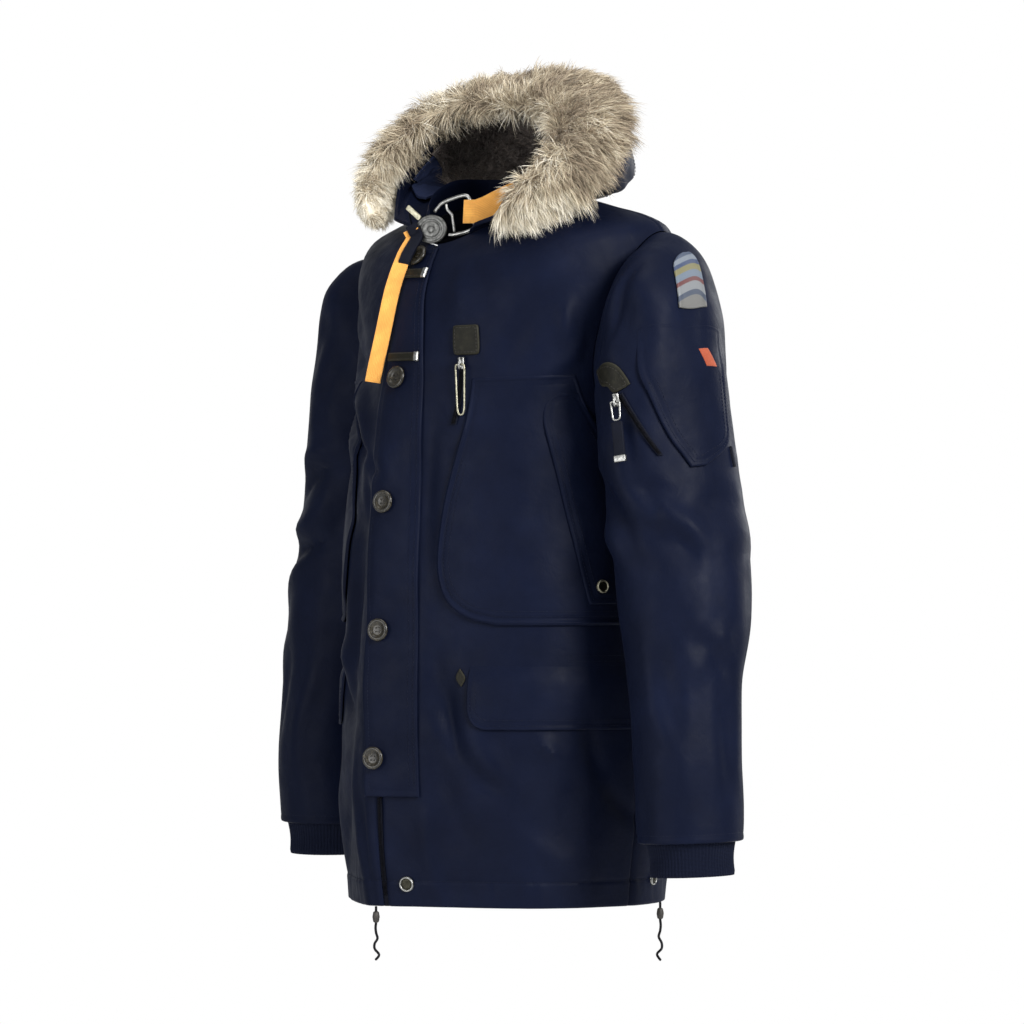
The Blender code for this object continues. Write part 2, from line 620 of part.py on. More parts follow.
def panel(name, start, end, columns):
    """A body panel between two side angles, or the front closure where an angle is None."""
    def place(u, v, w):
        level = PANEL_LEVELS[round(v * (len(PANEL_LEVELS) - 1))]
        first = arc_angle(drift(level) + FRONT_GAP, level) if start is None else start + SIDE_SEAM_GAP
        last = arc_angle(drift(level) - FRONT_GAP, level) if end is None else end - SIDE_SEAM_GAP
        if start is None:
            near = u**EDGE_CROWDING
        elif end is None:
            near = 1 - (1 - u) ** EDGE_CROWDING
        else:
            near = u
        angle = first + (last - first) * near
        return body_point(angle, level) - body_normal(angle, level) * SHELL * w

    return block(name, columns, len(PANEL_LEVELS) - 1, place, "navy_shell")


def armhole_cutter(side):
    """A bar of the armhole's outline, along X."""
    shape = bmesh.new()
    bmesh.ops.create_cone(shape, cap_ends=True, segments=52, radius1=1, radius2=1, depth=0.26)
    for corner in shape.verts:
        turn = math.atan2(corner.co.y, corner.co.x)
        y, z = armhole_yz(turn)
        corner.co = Vector((side * (0.23 + corner.co.z), y, z))
    cutter = mesh_from("armhole_left" if side > 0 else "armhole_right", outward(shape), None, CUTTERS)
    cutter.hide_render = True
    cutter.display_type = "WIRE"
    return cutter


def build_body():
    left_hole, right_hole = armhole_cutter(1), armhole_cutter(-1)
    quarter = AROUND // 4
    cut(panel("front_left", None, SIDE_SEAM, quarter + 1), left_hole)
    cut(panel("front_right", -SIDE_SEAM, None, quarter + 1), right_hole)
    back = panel("back", SIDE_SEAM, 2 * math.pi - SIDE_SEAM, AROUND // 2 - 2)
    cut(cut(back, left_hole), right_hole)


def build_sleeves():
    for side, name in ((1, "left"), (-1, "right")):
        def sleeve(u, v, w):
            along, turn = SLEEVE_ROWS[round(v * (len(SLEEVE_ROWS) - 1))], 2 * math.pi * u
            return mirrored(sleeve_point(turn, along) - sleeve_normal(turn, along) * SHELL * w, side)

        def cuff(u, v, w):
            turn = 2 * math.pi * u
            centre, run, outward, forward = sleeve_frame(SLEEVE_HEM_Z)
            inset = SHELL + CUFF_GAP + CUFF_INSET * v + CLOTH * w
            ring = (outward * (sleeve_section("r_side", SLEEVE_HEM_Z) - inset) * math.sin(turn)
                    + forward * (sleeve_section("r_depth", SLEEVE_HEM_Z) - inset) * math.cos(turn))
            reach = (SLEEVE_HEM_Z - CUFF_END_Z) + CUFF_HIDDEN
            return mirrored(centre + ring + run * (v * reach - CUFF_HIDDEN), side)

        block("sleeve_" + name, 24, len(SLEEVE_ROWS) - 1, sleeve, "navy_shell", joined=True)
        block("cuff_" + name, 22, 2, cuff, "navy_rib", joined=True)


def mirrored(point, side):
    return Vector((side * point.x, point.y, point.z))


def between(rows, v):
    """The two edge values of a row table, v 0 to 1 over its rows."""
    place = v * (len(rows) - 1)
    i = min(int(place), len(rows) - 2)
    return [a + (b - a) * (place - i) for a, b in zip(rows[i], rows[i + 1])]


def body_patch(name, rows, out, thickness, columns, slot, side=1):
    """A piece on the body whose rows give a height and the arcs of its two edges."""
    def place(u, v, w):
        z, start, end = between(rows, v)
        return mirrored(on_body(start + (end - start) * u, z, out + thickness * (1 - w)), side)

    return block(name, columns, len(rows) - 1, place, slot)


def sleeve_patch(name, rows, out, thickness, columns, slot):
    """A piece on the left sleeve whose rows give a share of the way down and the turns of its edges."""
    def place(u, v, w):
        along, start, end = between(rows, v)
        turn = start + (end - start) * u
        return sleeve_point(turn, along) + sleeve_normal(turn, along) * (out + thickness * (1 - w))

    return block(name, columns, len(rows) - 1, place, slot)


def build_hood():
    for name, start, end, columns in (("hood_right", -1, -0.3, 9), ("hood_centre", -0.3, 0.3, 7),
                                      ("hood_left", 0.3, 1, 9)):
        def shell(u, v, w):
            share = start + (end - start) * u
            share += HOOD_SEAM if share == start > -1 else -HOOD_SEAM if share == end < 1 else 0
            return hood_point(share, v) - hood_normal(share, v) * HOOD_WALL * w

        block(name, columns, 8, shell, "navy_shell")

    for name, start, end, low, high, slot in (
            ("hood_pile", -0.56, 0.56, 0.16, 0.93, "pile_lining"),
            ("hood_facing_right", -0.72, -0.5645, 0.10, 0.90, "navy_shell"),
            ("hood_facing_left", 0.5645, 0.72, 0.10, 0.90, "navy_shell")):
        def lining(u, v, w):
            share = start + (end - start) * u
            rise = low + (high - low) * v
            depth = HOOD_WALL + (0.0018 + 0.004 * w if slot == "pile_lining" else 0.0032 + CLOTH * w)
            return hood_point(share, rise) - hood_normal(share, rise) * depth

        block(name, 13 if slot == "pile_lining" else 6, 6, lining, slot)

    def stand(u, v, w):
        angle = math.pi + (2 * u - 1) * (math.pi - STAND_FRONT_ANGLE)
        return stand_point(angle, v, CLOTH * w)

    block("neck_stand", 26, 1, stand, "navy_shell")

    shape = bmesh.new()
    bmesh.ops.create_uvsphere(shape, u_segments=12, v_segments=32, radius=1)
    for corner in shape.verts:
        share = 1 - 2 * math.acos(max(-1, min(1, corner.co.z))) / math.pi
        around = math.atan2(corner.co.y, corner.co.x)
        middle, width, depth = ruff_frame(share)
        size = ruff_value("size", share) * min(1.0, (1 - abs(share)) / RUFF_END) ** 0.5
        corner.co = (middle + width * RUFF_HALF_WIDTH * size * math.cos(around)
                     + depth * RUFF_HALF_DEPTH * size * math.sin(around))
    mesh_from("ruff", outward(shape), "fur")


def build_pockets():
    flap_out = ON_POUCH + LIFT
    for side, name in ((1, "left"), (-1, "right")):
        body_patch("chest_pouch_" + name, CHEST_POUCH, POUCH_LIFT, CLOTH, 9, "navy_shell", side)
        body_patch("hand_flap_" + name, HAND_FLAP, flap_out, FLAP_THICKNESS, 5, "navy_shell", side)
        body_patch("hip_flap_" + name, HIP_FLAP, HIP_LIFT, FLAP_THICKNESS, 9, "navy_shell", side)
    sleeve_patch("sleeve_flap", SLEEVE_FLAP, POUCH_LIFT, FLAP_THICKNESS, 10, "navy_shell")
    body_patch("pouch_corner", POUCH_CORNER, SMALL_LIFT, 0.002, 2, "leather")


def build_closure():
    def zip_strip(u, v, w):
        level = PANEL_LEVELS[round(v * (len(PANEL_LEVELS) - 1))]
        angle = arc_angle(drift(level) + (FRONT_GAP - 2 * SEAM) * (2 * u - 1), level)
        return body_point(angle, level) - body_normal(angle, level) * (TAPE_DEPTH + FRONT_TAPE * w)

    block("front_zip", 2, len(PANEL_LEVELS) - 1, zip_strip, "navy_rib")
    body_patch("storm_flap", STORM_FLAP, FLAP_LIFT, FLAP_THICKNESS, 6, "navy_shell")
    for number, (arc, z) in enumerate(BUTTONS, 1):
        place = frame_on_body(arc, z, ON_STORM_FLAP - 0.0002)
        turned("button_%d" % number, BUTTON_PROFILE, "horn_button", place)
    for name, (z, start, end) in (("upper", BAR_UPPER), ("lower", BAR_LOWER)):
        rows = ((z + BAR_HALF_WIDTH, start, end), (z - BAR_HALF_WIDTH, start, end))
        body_patch("bar_" + name, rows, ON_STORM_FLAP, BAR_THICKNESS, 5, "leather")


def build_hem():
    turned("hem_snap", SNAP_PROFILE, "steel", frame_on_body(*HEM_SNAP, SMALL_LIFT))
    turned("vent_snap", scaled(SNAP_PROFILE, 0.8), "steel", frame_on_body(*VENT_SNAP, SMALL_LIFT))
    turned("pocket_snap", scaled(SNAP_PROFILE, 0.85), "old_brass",
           frame_on_body(*POCKET_SNAP, ON_POUCH + 2 * LIFT + FLAP_THICKNESS))
    for side, name, angle, length in ((-1, "right", None, 0.058), (1, "left", math.radians(128), 0.064)):
        if angle is None:
            angle = arc_angle(drift(HEM_Z) - 0.014, HEM_Z)
        start = body_point(angle, HEM_Z) - body_normal(angle, HEM_Z) * SHELL / 2
        waves = [side * 0.0009 * max(0, i - 3) * math.sin(1.9 * i) for i in range(11)]
        line = [start + Vector((wave, 0, -0.0006 - length * i / 10)) for i, wave in enumerate(waves)]
        tube("hem_cord_" + name, line, CORD_R, "black_cord")
        turned("cord_bead_" + name, BEAD_PROFILE, "black_cord", Matrix.Translation(line[2]), 12)


def scaled(profile, size):
    return tuple((r * size, h * size) for r, h in profile)


def slider_frame(place):
    """The slider's side view is set on the cloth, so that its bridge's hole runs across it."""
    return place @ Matrix(((0, 0, 1, 0), (1, 0, 0, 0), (0, 1, 0, 0), (0, 0, 0, 1)))


def slider(name, place, half_length, slot):
    """A slider with a bridge over a hole, in which the pull's ring hangs."""
    data = bpy.data.curves.new(name, "CURVE")
    data.dimensions = "2D"
    data.fill_mode = "BOTH"
    data.extrude = SLIDER_HALF_WIDTH
    h = half_length
    outer = ((-h, 0), (h, 0), (h, 0.0026), (h - 0.0012, 0.0068), (-h + 0.0030, 0.0080), (-h, 0.0055))
    hole = ((-h + 0.0018, 0.0026), (h - 0.0030, 0.0026), (h - 0.0036, 0.0052), (-h + 0.0034, 0.0062),
            (-h + 0.0018, 0.0050))
    for outline in (outer, hole):
        line = data.splines.new("POLY")
        line.points.add(len(outline) - 1)
        for spot, (x, y) in zip(line.points, outline):
            spot.co = (x, y, 0, 1)
        line.use_cyclic_u = True
    thing = add_object(name, data, slot)
    thing.matrix_world = slider_frame(place)
    return thing


def pull_ring(name, place, length, slot):
    """A closed wire ring whose top bar lies on local X through the origin and which hangs down -Y."""
    points = [(PULL_HALF_WIDTH * x, -length * y, 0.0) for x, y in PULL_WIRE]
    return tube(name, points, PULL_WIRE_R, slot, place, ring=True, sides=1)


def build_zips():
    # chest zip: a short tape, a leather tab over its top, a slider and a long wire pull
    body_patch("chest_zip", CHEST_ZIP, LIFT, TAPE, 1, "navy_rib")
    body_patch("chest_tab", CHEST_TAB, LIFT, 0.0028, 4, "leather")
    place = frame_on_body(*CHEST_SLIDER, LIFT + TAPE + 0.0004)
    slider("chest_slider", place, 0.0065, "steel")
    hinge = place @ Matrix.Translation(HINGE) @ Matrix.Rotation(math.radians(3), 4, "X")
    pull_ring("chest_pull", hinge, 0.054, "old_brass")
    # sleeve zip: the same under the sleeve's flap, with a woven tab on a short ring
    sleeve_patch("sleeve_tab", SLEEVE_TAB, LIFT, 0.0026, 4, "leather")
    sleeve_patch("sleeve_zip", SLEEVE_ZIP, LIFT, TAPE, 2, "navy_rib")
    place = frame_on_sleeve(*SLEEVE_SLIDER, LIFT + TAPE + 0.0007)
    slider("sleeve_slider", place, 0.0070, "steel")
    hinge = place @ Matrix.Translation(HINGE) @ Matrix.Rotation(math.radians(-4), 4, "X")
    ring = pull_ring("sleeve_pull", hinge, 0.020, "steel")
    tab = plate("sleeve_pull_tab", rounded_box(0.0064, 0.0215, 0.002), 0.0036, "navy_rib",
                Matrix.Translation((0, -0.0433, -0.0018)))
    tab.parent = ring


def build_hook():
    """The neck's disc, frame and gate hang between the ruff's ends, on a tongue and a webbing loop."""
    right = Vector((math.cos(HOOK_AZIMUTH), math.sin(HOOK_AZIMUTH), 0))
    up = Vector((0, 0, 1))
    place = frame(HOOK_PLACE, right, up, right.cross(up))
    turned("hook_disc", DISC_PROFILE, "steel",
           place @ Matrix.Translation(DISC_PLACE) @ Matrix.Scale(DISC_STRETCH, 4, (1, 0, 0)), 24)
    tube("hook_frame", [(x, y, 0.0) for x, y in HOOK_RAIL], HOOK_RAIL_R, "steel", place)
    tube("hook_gate", [(x, y, 0.0) for x, y in HOOK_GATE], HOOK_GATE_R, "steel", place)
    plate("hook_tongue", rounded_box(0.0105, 0.0030, 0.0015), 0.0026, "old_brass",
          place @ Matrix.Translation(TONGUE_PLACE) @ Matrix.Rotation(TONGUE_TURN, 4, "Z"))
    # the webbing comes from the rail's right side and runs back along the collar
    lean = stand_point(STAND_FRONT_ANGLE, 1, 0) - stand_point(STAND_FRONT_ANGLE, 0, 0)
    strip = [place @ Vector((x, 0.0035, z)) for x, z in ((0.0165, 0.0053), (0.0265, 0.0054), (0.0330, 0.0060))]
    strip += [stand_point(math.radians(degrees), 0.80, -0.0022) for degrees in (36, 42, 49, 56)]
    webbing_strip("hook_webbing", strip, lean.normalized(), 0.0130, 0.0024)
    leave = place @ Vector((-0.0515, 0.0085, -0.0021))
    seat = hood_point(-1, 0.20) + hood_normal(-1, 0.20) * 0.0027
    loop = [leave, leave.lerp(seat, 0.35), leave.lerp(seat, 0.7), seat]
    webbing_strip("neck_loop", loop, up, 0.0024, 0.0014, "black_cord")


def webbing_strip(name, line, across, half_width, thickness, slot="webbing"):
    """A strip of webbing along a line of points, its width along across."""
    def place(u, v, w):
        i = round(v * (len(line) - 1))
        run = (line[min(i + 1, len(line) - 1)] - line[max(i - 1, 0)]).normalized()
        out = run.cross(across).normalized()
        return line[i] + across * half_width * (2 * u - 1) + out * thickness * (w - 0.5)

    return block(name, 2, len(line) - 1, place, slot)


def build_strap():
    arcs, heights = [arc for arc, z in HANG_STRAP], [z for arc, z in HANG_STRAP]
    line = [STRAP_TOP, STRAP_TOP.lerp(on_body(arcs[0], heights[0], STRAP_OUT), 0.5)]
    for i in range(13):
        z = heights[0] + (heights[-1] - heights[0]) * i / 12
        line.append(on_body(through(heights, arcs, z), z, STRAP_OUT))
    right = Vector((math.cos(STRAP_AZIMUTH), math.sin(STRAP_AZIMUTH), 0))
    webbing_strip("hang_strap", line, right, 0.0088, 0.0022)


def build_sleeve_trims():
    sleeve_patch("badge", BADGE, 0.0012, 0.0016, 8, "badge")
    sleeve_patch("size_label", SIZE_LABEL, POUCH_LIFT + FLAP_THICKNESS + 2 * SMALL_LIFT, 0.0010, 2, "orange_tag")
    sleeve_patch("flap_strap", FLAP_STRAP, SMALL_LIFT, 0.0022, 1, "black_cord")


start_scene()
build_body()
build_sleeves()
build_hood()
build_pockets()
build_closure()
build_hem()
build_zips()
build_hook()
build_strap()
build_sleeve_trims()
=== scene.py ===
"""A long down parka with a fur-edged hood: its cloth, fur, leather and metal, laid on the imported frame."""

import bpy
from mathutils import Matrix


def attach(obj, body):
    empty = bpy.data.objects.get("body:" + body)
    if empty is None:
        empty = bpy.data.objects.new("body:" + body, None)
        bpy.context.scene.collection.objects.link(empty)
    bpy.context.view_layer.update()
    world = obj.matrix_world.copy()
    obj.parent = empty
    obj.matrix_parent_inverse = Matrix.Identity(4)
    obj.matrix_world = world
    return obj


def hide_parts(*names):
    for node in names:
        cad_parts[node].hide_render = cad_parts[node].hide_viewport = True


bl_info = {
    "name": "Fur-edged Down Parka",
    "version": (1, 0, 0),
    "blender": (4, 5, 0),
    "location": "3D View > Sidebar > Parka",
    "description": "Builds the cloth, fur, leather and metal of a long down parka on its packed frame",
    "category": "Object",
}

import bisect
import functools
import itertools
import math

import bmesh
import bpy
import numpy as np
from bpy.props import FloatProperty, FloatVectorProperty, IntProperty, PointerProperty
from mathutils import Matrix, Vector, noise

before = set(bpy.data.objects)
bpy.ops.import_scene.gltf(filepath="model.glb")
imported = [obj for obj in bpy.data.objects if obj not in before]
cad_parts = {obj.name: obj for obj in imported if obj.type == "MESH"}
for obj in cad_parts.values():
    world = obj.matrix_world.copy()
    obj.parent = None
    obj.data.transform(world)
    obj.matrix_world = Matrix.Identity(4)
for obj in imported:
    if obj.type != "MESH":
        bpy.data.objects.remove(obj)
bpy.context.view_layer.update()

# ---------------------------------------------------------------- sizes shared with the part's source
SHELL = 0.006
CLOTH = 0.0025
SEAM = 0.0003
LIFT = 0.0009
SMALL_LIFT = 0.0003
HEM_Z = -0.741
SLEEVE_HEM_Z = -0.666
CUFF_END_Z = -0.702
CUFF_INSET = 0.004
CUFF_HIDDEN = 0.030
SIDE_SEAM = math.radians(96)
FRONT_GAP = 0.0030
BUTTON_R = 0.0124
SNAP_R = 0.0085
CORD_R = 0.0014
RUFF_HALF_WIDTH = 0.053
RUFF_HALF_DEPTH = 0.023
LIGHTS = (  # name, degrees round to the wearer's left, height, distance, size, power's setting, its share
    ("key", 88, 1.3, 3.2, 1.3, "key_power", 1),
    ("fill", 4, 0.4, 3.6, 2.0, "fill_power", 1),
    ("left_back", -110, 0.8, 3.4, 2.0, "back_power", 1 / 9),
    ("right_back", 190, 1.0, 3.4, 2.0, "back_power", 1),
    ("top", 50, 2.8, 0.6, 1.8, "back_power", 1),
)
HOOK_AZIMUTH = math.radians(25)
HOOK_PLACE = Vector((0.0120, -0.0935, 0.0075))
NECK_FRONT_ANGLE = math.radians(26)
STAND_FRONT_ANGLE = math.radians(30)
HOOD_T = 0.0040
HOOD_SEAM = 0.0018
POUCH_LIFT = 0.0017
HIP_LIFT = 0.0012
POUCH_OUT = POUCH_LIFT + CLOTH
FLAP_T = 0.0028
FLAP_OUT = 0.0015
ON_FLAP = FLAP_OUT + FLAP_T + 0.0004

SECTION_COLUMNS = (
    "level", "z_front", "z_back", "half_width", "y_front", "y_side", "y_back", "square", "keel")
SECTIONS = (
    (-0.741, -0.741, -0.741, 0.184, -0.198, -0.004, 0.159, 2.00, 0.50),
    (-0.690, -0.690, -0.690, 0.188, -0.204, -0.002, 0.164, 2.00, 0.50),
    (-0.620, -0.620, -0.620, 0.191, -0.207, 0.000, 0.164, 2.05, 0.50),
    (-0.530, -0.530, -0.530, 0.192, -0.203, 0.002, 0.160, 2.10, 0.50),
    (-0.450, -0.450, -0.450, 0.191, -0.198, 0.004, 0.158, 2.10, 0.50),
    (-0.370, -0.370, -0.370, 0.187, -0.192, 0.008, 0.158, 2.15, 0.48),
    (-0.290, -0.290, -0.290, 0.180, -0.184, 0.012, 0.159, 2.20, 0.44),
    (-0.225, -0.225, -0.225, 0.176, -0.175, 0.016, 0.159, 2.25, 0.38),
    (-0.170, -0.175, -0.171, 0.183, -0.163, 0.020, 0.156, 2.30, 0.30),
    (-0.115, -0.126, -0.116, 0.194, -0.151, 0.024, 0.150, 2.35, 0.20),
    (-0.065, -0.086, -0.068, 0.204, -0.140, 0.027, 0.140, 2.35, 0.10),
    (-0.030, -0.064, -0.037, 0.206, -0.131, 0.029, 0.129, 2.30, 0.05),
    (-0.004, -0.050, -0.014, 0.198, -0.124, 0.031, 0.118, 2.20, 0.00),
    (0.010, -0.040, 0.004, 0.167, -0.118, 0.029, 0.104, 2.10, 0.00),
    (0.019, -0.031, 0.017, 0.129, -0.112, 0.023, 0.089, 2.00, 0.00),
    (0.026, -0.024, 0.026, 0.094, -0.105, 0.013, 0.077, 2.00, 0.00),
)
KEEL_TIP = 0.05
CLOSURE_DRIFT = ((-0.741, 0.021), (-0.30, 0.016), (-0.17, 0.012), (-0.05, 0.0), (0.03, 0.0))  # (z, arc)

SLEEVE_COLUMNS = ("z", "x", "y", "r_side", "r_depth")
SLEEVE_SECTIONS = (
    (-0.262, 0.2530, 0.0090, 0.0620, 0.0810),
    (-0.303, 0.2610, 0.0110, 0.0650, 0.0800),
    (-0.367, 0.2737, 0.0115, 0.0680, 0.0765),
    (-0.431, 0.2862, 0.0035, 0.0670, 0.0725),
    (-0.495, 0.2955, -0.0045, 0.0600, 0.0635),
    (-0.580, 0.3055, -0.0105, 0.0565, 0.0590),
    (-0.645, 0.3075, -0.0085, 0.0555, 0.0575),
    (-0.666, 0.3080, -0.0080, 0.0550, 0.0570),
)
ARMHOLE_Z = (-0.012, -0.222)
ARMHOLE_Y = 0.030
ARMHOLE_LEAN = 0.16
ARMHOLE_HALF_DEPTH = 0.063
ARMHOLE_GAP = 0.0003
CAP_SWELL = 0.25
CAP_RISE = 2.6

RUFF_COLUMNS = ("share", "x", "y", "z", "size", "rise_right")
RUFF_LINE = (
    (0.00, 0.000, 0.040, 0.147, 1.00, 0.000),
    (0.18, 0.078, 0.023, 0.139, 1.00, 0.009),
    (0.38, 0.132, -0.002, 0.113, 1.03, 0.015),
    (0.58, 0.157, -0.030, 0.079, 1.05, 0.012),
    (0.76, 0.154, -0.062, 0.044, 1.00, 0.008),
    (0.90, 0.132, -0.084, 0.016, 0.90, 0.005),
    (1.00, 0.108, -0.102, -0.002, 0.80, 0.003),
)

# Pieces on the wearer's left front: each row is a height and the arcs from the closure to both edges.
STORM_FLAP = (
    (-0.030, -0.030, 0.012), (-0.042, -0.032, 0.015), (-0.058, -0.034, 0.019), (-0.090, -0.035, 0.024),
    (-0.150, -0.033, 0.028), (-0.220, -0.029, 0.033), (-0.300, -0.027, 0.036), (-0.380, -0.025, 0.039),
    (-0.460, -0.022, 0.042), (-0.540, -0.019, 0.045), (-0.6225, -0.017, 0.048),
)
CHEST_POUCH = (
    (-0.172, 0.0865, 0.203), (-0.200, 0.0845, 0.216), (-0.228, 0.081, 0.236), (-0.265, 0.073, 0.262),
    (-0.303, 0.0655, 0.278), (-0.340, 0.061, 0.286), (-0.372, 0.0602, 0.291), (-0.395, 0.0645, 0.293),
    (-0.412, 0.073, 0.294), (-0.424, 0.087, 0.294), (-0.432, 0.104, 0.294), (-0.4375, 0.130, 0.294),
)
HAND_FLAP = (
    (-0.190, 0.184, 0.207), (-0.196, 0.173, 0.212), (-0.206, 0.168, 0.218), (-0.225, 0.169, 0.230),
    (-0.270, 0.183, 0.258), (-0.320, 0.198, 0.277), (-0.370, 0.2135, 0.286), (-0.405, 0.2243, 0.288),
    (-0.415, 0.2285, 0.286),
)
HIP_FLAP = (
    (-0.480, 0.101, 0.297), (-0.505, 0.100, 0.297), (-0.527, 0.1005, 0.298), (-0.538, 0.104, 0.298),
    (-0.545, 0.110, 0.297), (-0.5495, 0.121, 0.294),
)
POUCH_CORNER = ((-0.484, 0.0905, 0.0915), (-0.494, 0.0865, 0.0975), (-0.503, 0.0925, 0.0935))
CHEST_ZIP = (
    (-0.150, 0.0735, 0.0800), (-0.172, 0.0730, 0.0795), (-0.200, 0.0710, 0.0775), (-0.222, 0.0670, 0.0735),
)
CHEST_TAB = (
    (-0.1165, 0.070, 0.0935), (-0.1200, 0.0665, 0.0970), (-0.1440, 0.0665, 0.0970), (-0.1480, 0.070, 0.0935),
)
CHEST_SLIDER = (0.0765, -0.1570)

# Pieces on the left sleeve: each row is a share of the way down and the turns of both edges.
BADGE = (
    (0.232, 1.24, 1.37), (0.246, 1.17, 1.43), (0.272, 1.115, 1.49), (0.310, 1.08, 1.54),
    (0.380, 1.085, 1.585), (0.495, 1.115, 1.640),
)
SIZE_LABEL = ((0.648, 1.46, 1.65), (0.712, 1.60, 1.81))
SLEEVE_FLAP = (
    (0.560, 0.66, 2.02), (0.700, 0.665, 2.05), (0.780, 0.77, 2.06), (0.876, 0.915, 2.065),
    (0.950, 1.05, 2.065), (1.000, 1.17, 1.90), (1.040, 1.275, 1.50),
)
SLEEVE_TAB = (
    (0.425, -0.06, -0.02), (0.557, 0.022, 0.238), (0.636, 0.16, 0.40), (0.706, 0.284, 0.52),
    (0.727, 0.46, 0.55),
)
ARM_SLIDER = (0.325, 0.745)
SLEEVE_ZIP = ((0.735, 0.330, 0.420), (0.830, 0.480, 0.570), (0.920, 0.650, 0.740), (1.000, 0.830, 0.910))
FLAP_STRAP = ((0.985, 2.105, 2.165), (1.045, 2.105, 2.165))

BADGE_BANDS = (
    (0.0, (0.045, 0.063, 0.105)), (0.055, (0.150, 0.175, 0.210)), (0.150, (0.030, 0.048, 0.105)),
    (0.225, (0.160, 0.147, 0.070)), (0.330, (0.115, 0.147, 0.190)), (0.450, (0.105, 0.030, 0.030)),
    (0.520, (0.170, 0.180, 0.190)), (0.660, (0.035, 0.048, 0.078)), (0.740, (0.120, 0.118, 0.112)),
)

BUTTONS = ((-0.0093, -0.0400), (-0.0035, -0.1715), (-0.0053, -0.3050), (-0.0043, -0.4430), (-0.0047, -0.5810))
BARS = (("upper", -0.0590, -0.0195, 0.0190), ("lower", -0.1490, -0.021, 0.0245))
HANG_STRAP = (
    (-0.0225, -0.0280), (-0.0210, -0.0400), (-0.0190, -0.0600), (-0.0196, -0.0889), (-0.0245, -0.1263),
    (-0.0315, -0.1640), (-0.0330, -0.1780),
)  # (arc, z)
STRAP_TOP = Vector((-0.0275, -0.1195, -0.0065))
STRAP_OUT = 0.0150
STRAP_AZIMUTH = math.radians(35)
KEEPER_ASIDE = 0.0032
KEEPER_OUT = 0.0018
KEEPER_END_Z = -0.046

# The neck hook, (x, y) as the wearer's front sees it.
HOOK_RAIL = (
    (-0.0203, 0.0036), (-0.0160, 0.0085), (-0.0105, 0.0135), (0.0000, 0.0175), (0.0100, 0.0203),
    (0.0165, 0.0212), (0.0210, 0.0190), (0.0235, 0.0120), (0.0250, 0.0020), (0.0270, -0.0070),
    (0.0285, -0.0125), (0.0245, -0.0160), (0.0150, -0.0192), (0.0020, -0.0215), (-0.0035, -0.0213),
)
HOOK_GATE = (
    (-0.0062, 0.0126), (-0.0045, 0.0060), (0.0005, 0.0005), (0.0020, -0.0065), (0.0030, -0.0125),
    (0.0038, -0.0183),
)
DISC_R = 0.0158
DISC_STRETCH = 1.2
DISC_PLACE = (-0.0237, -0.0148, -0.0012)
TONGUE_PLACE = (-0.0455, 0.0036, -0.0014)
TONGUE_TURN = math.radians(-40)

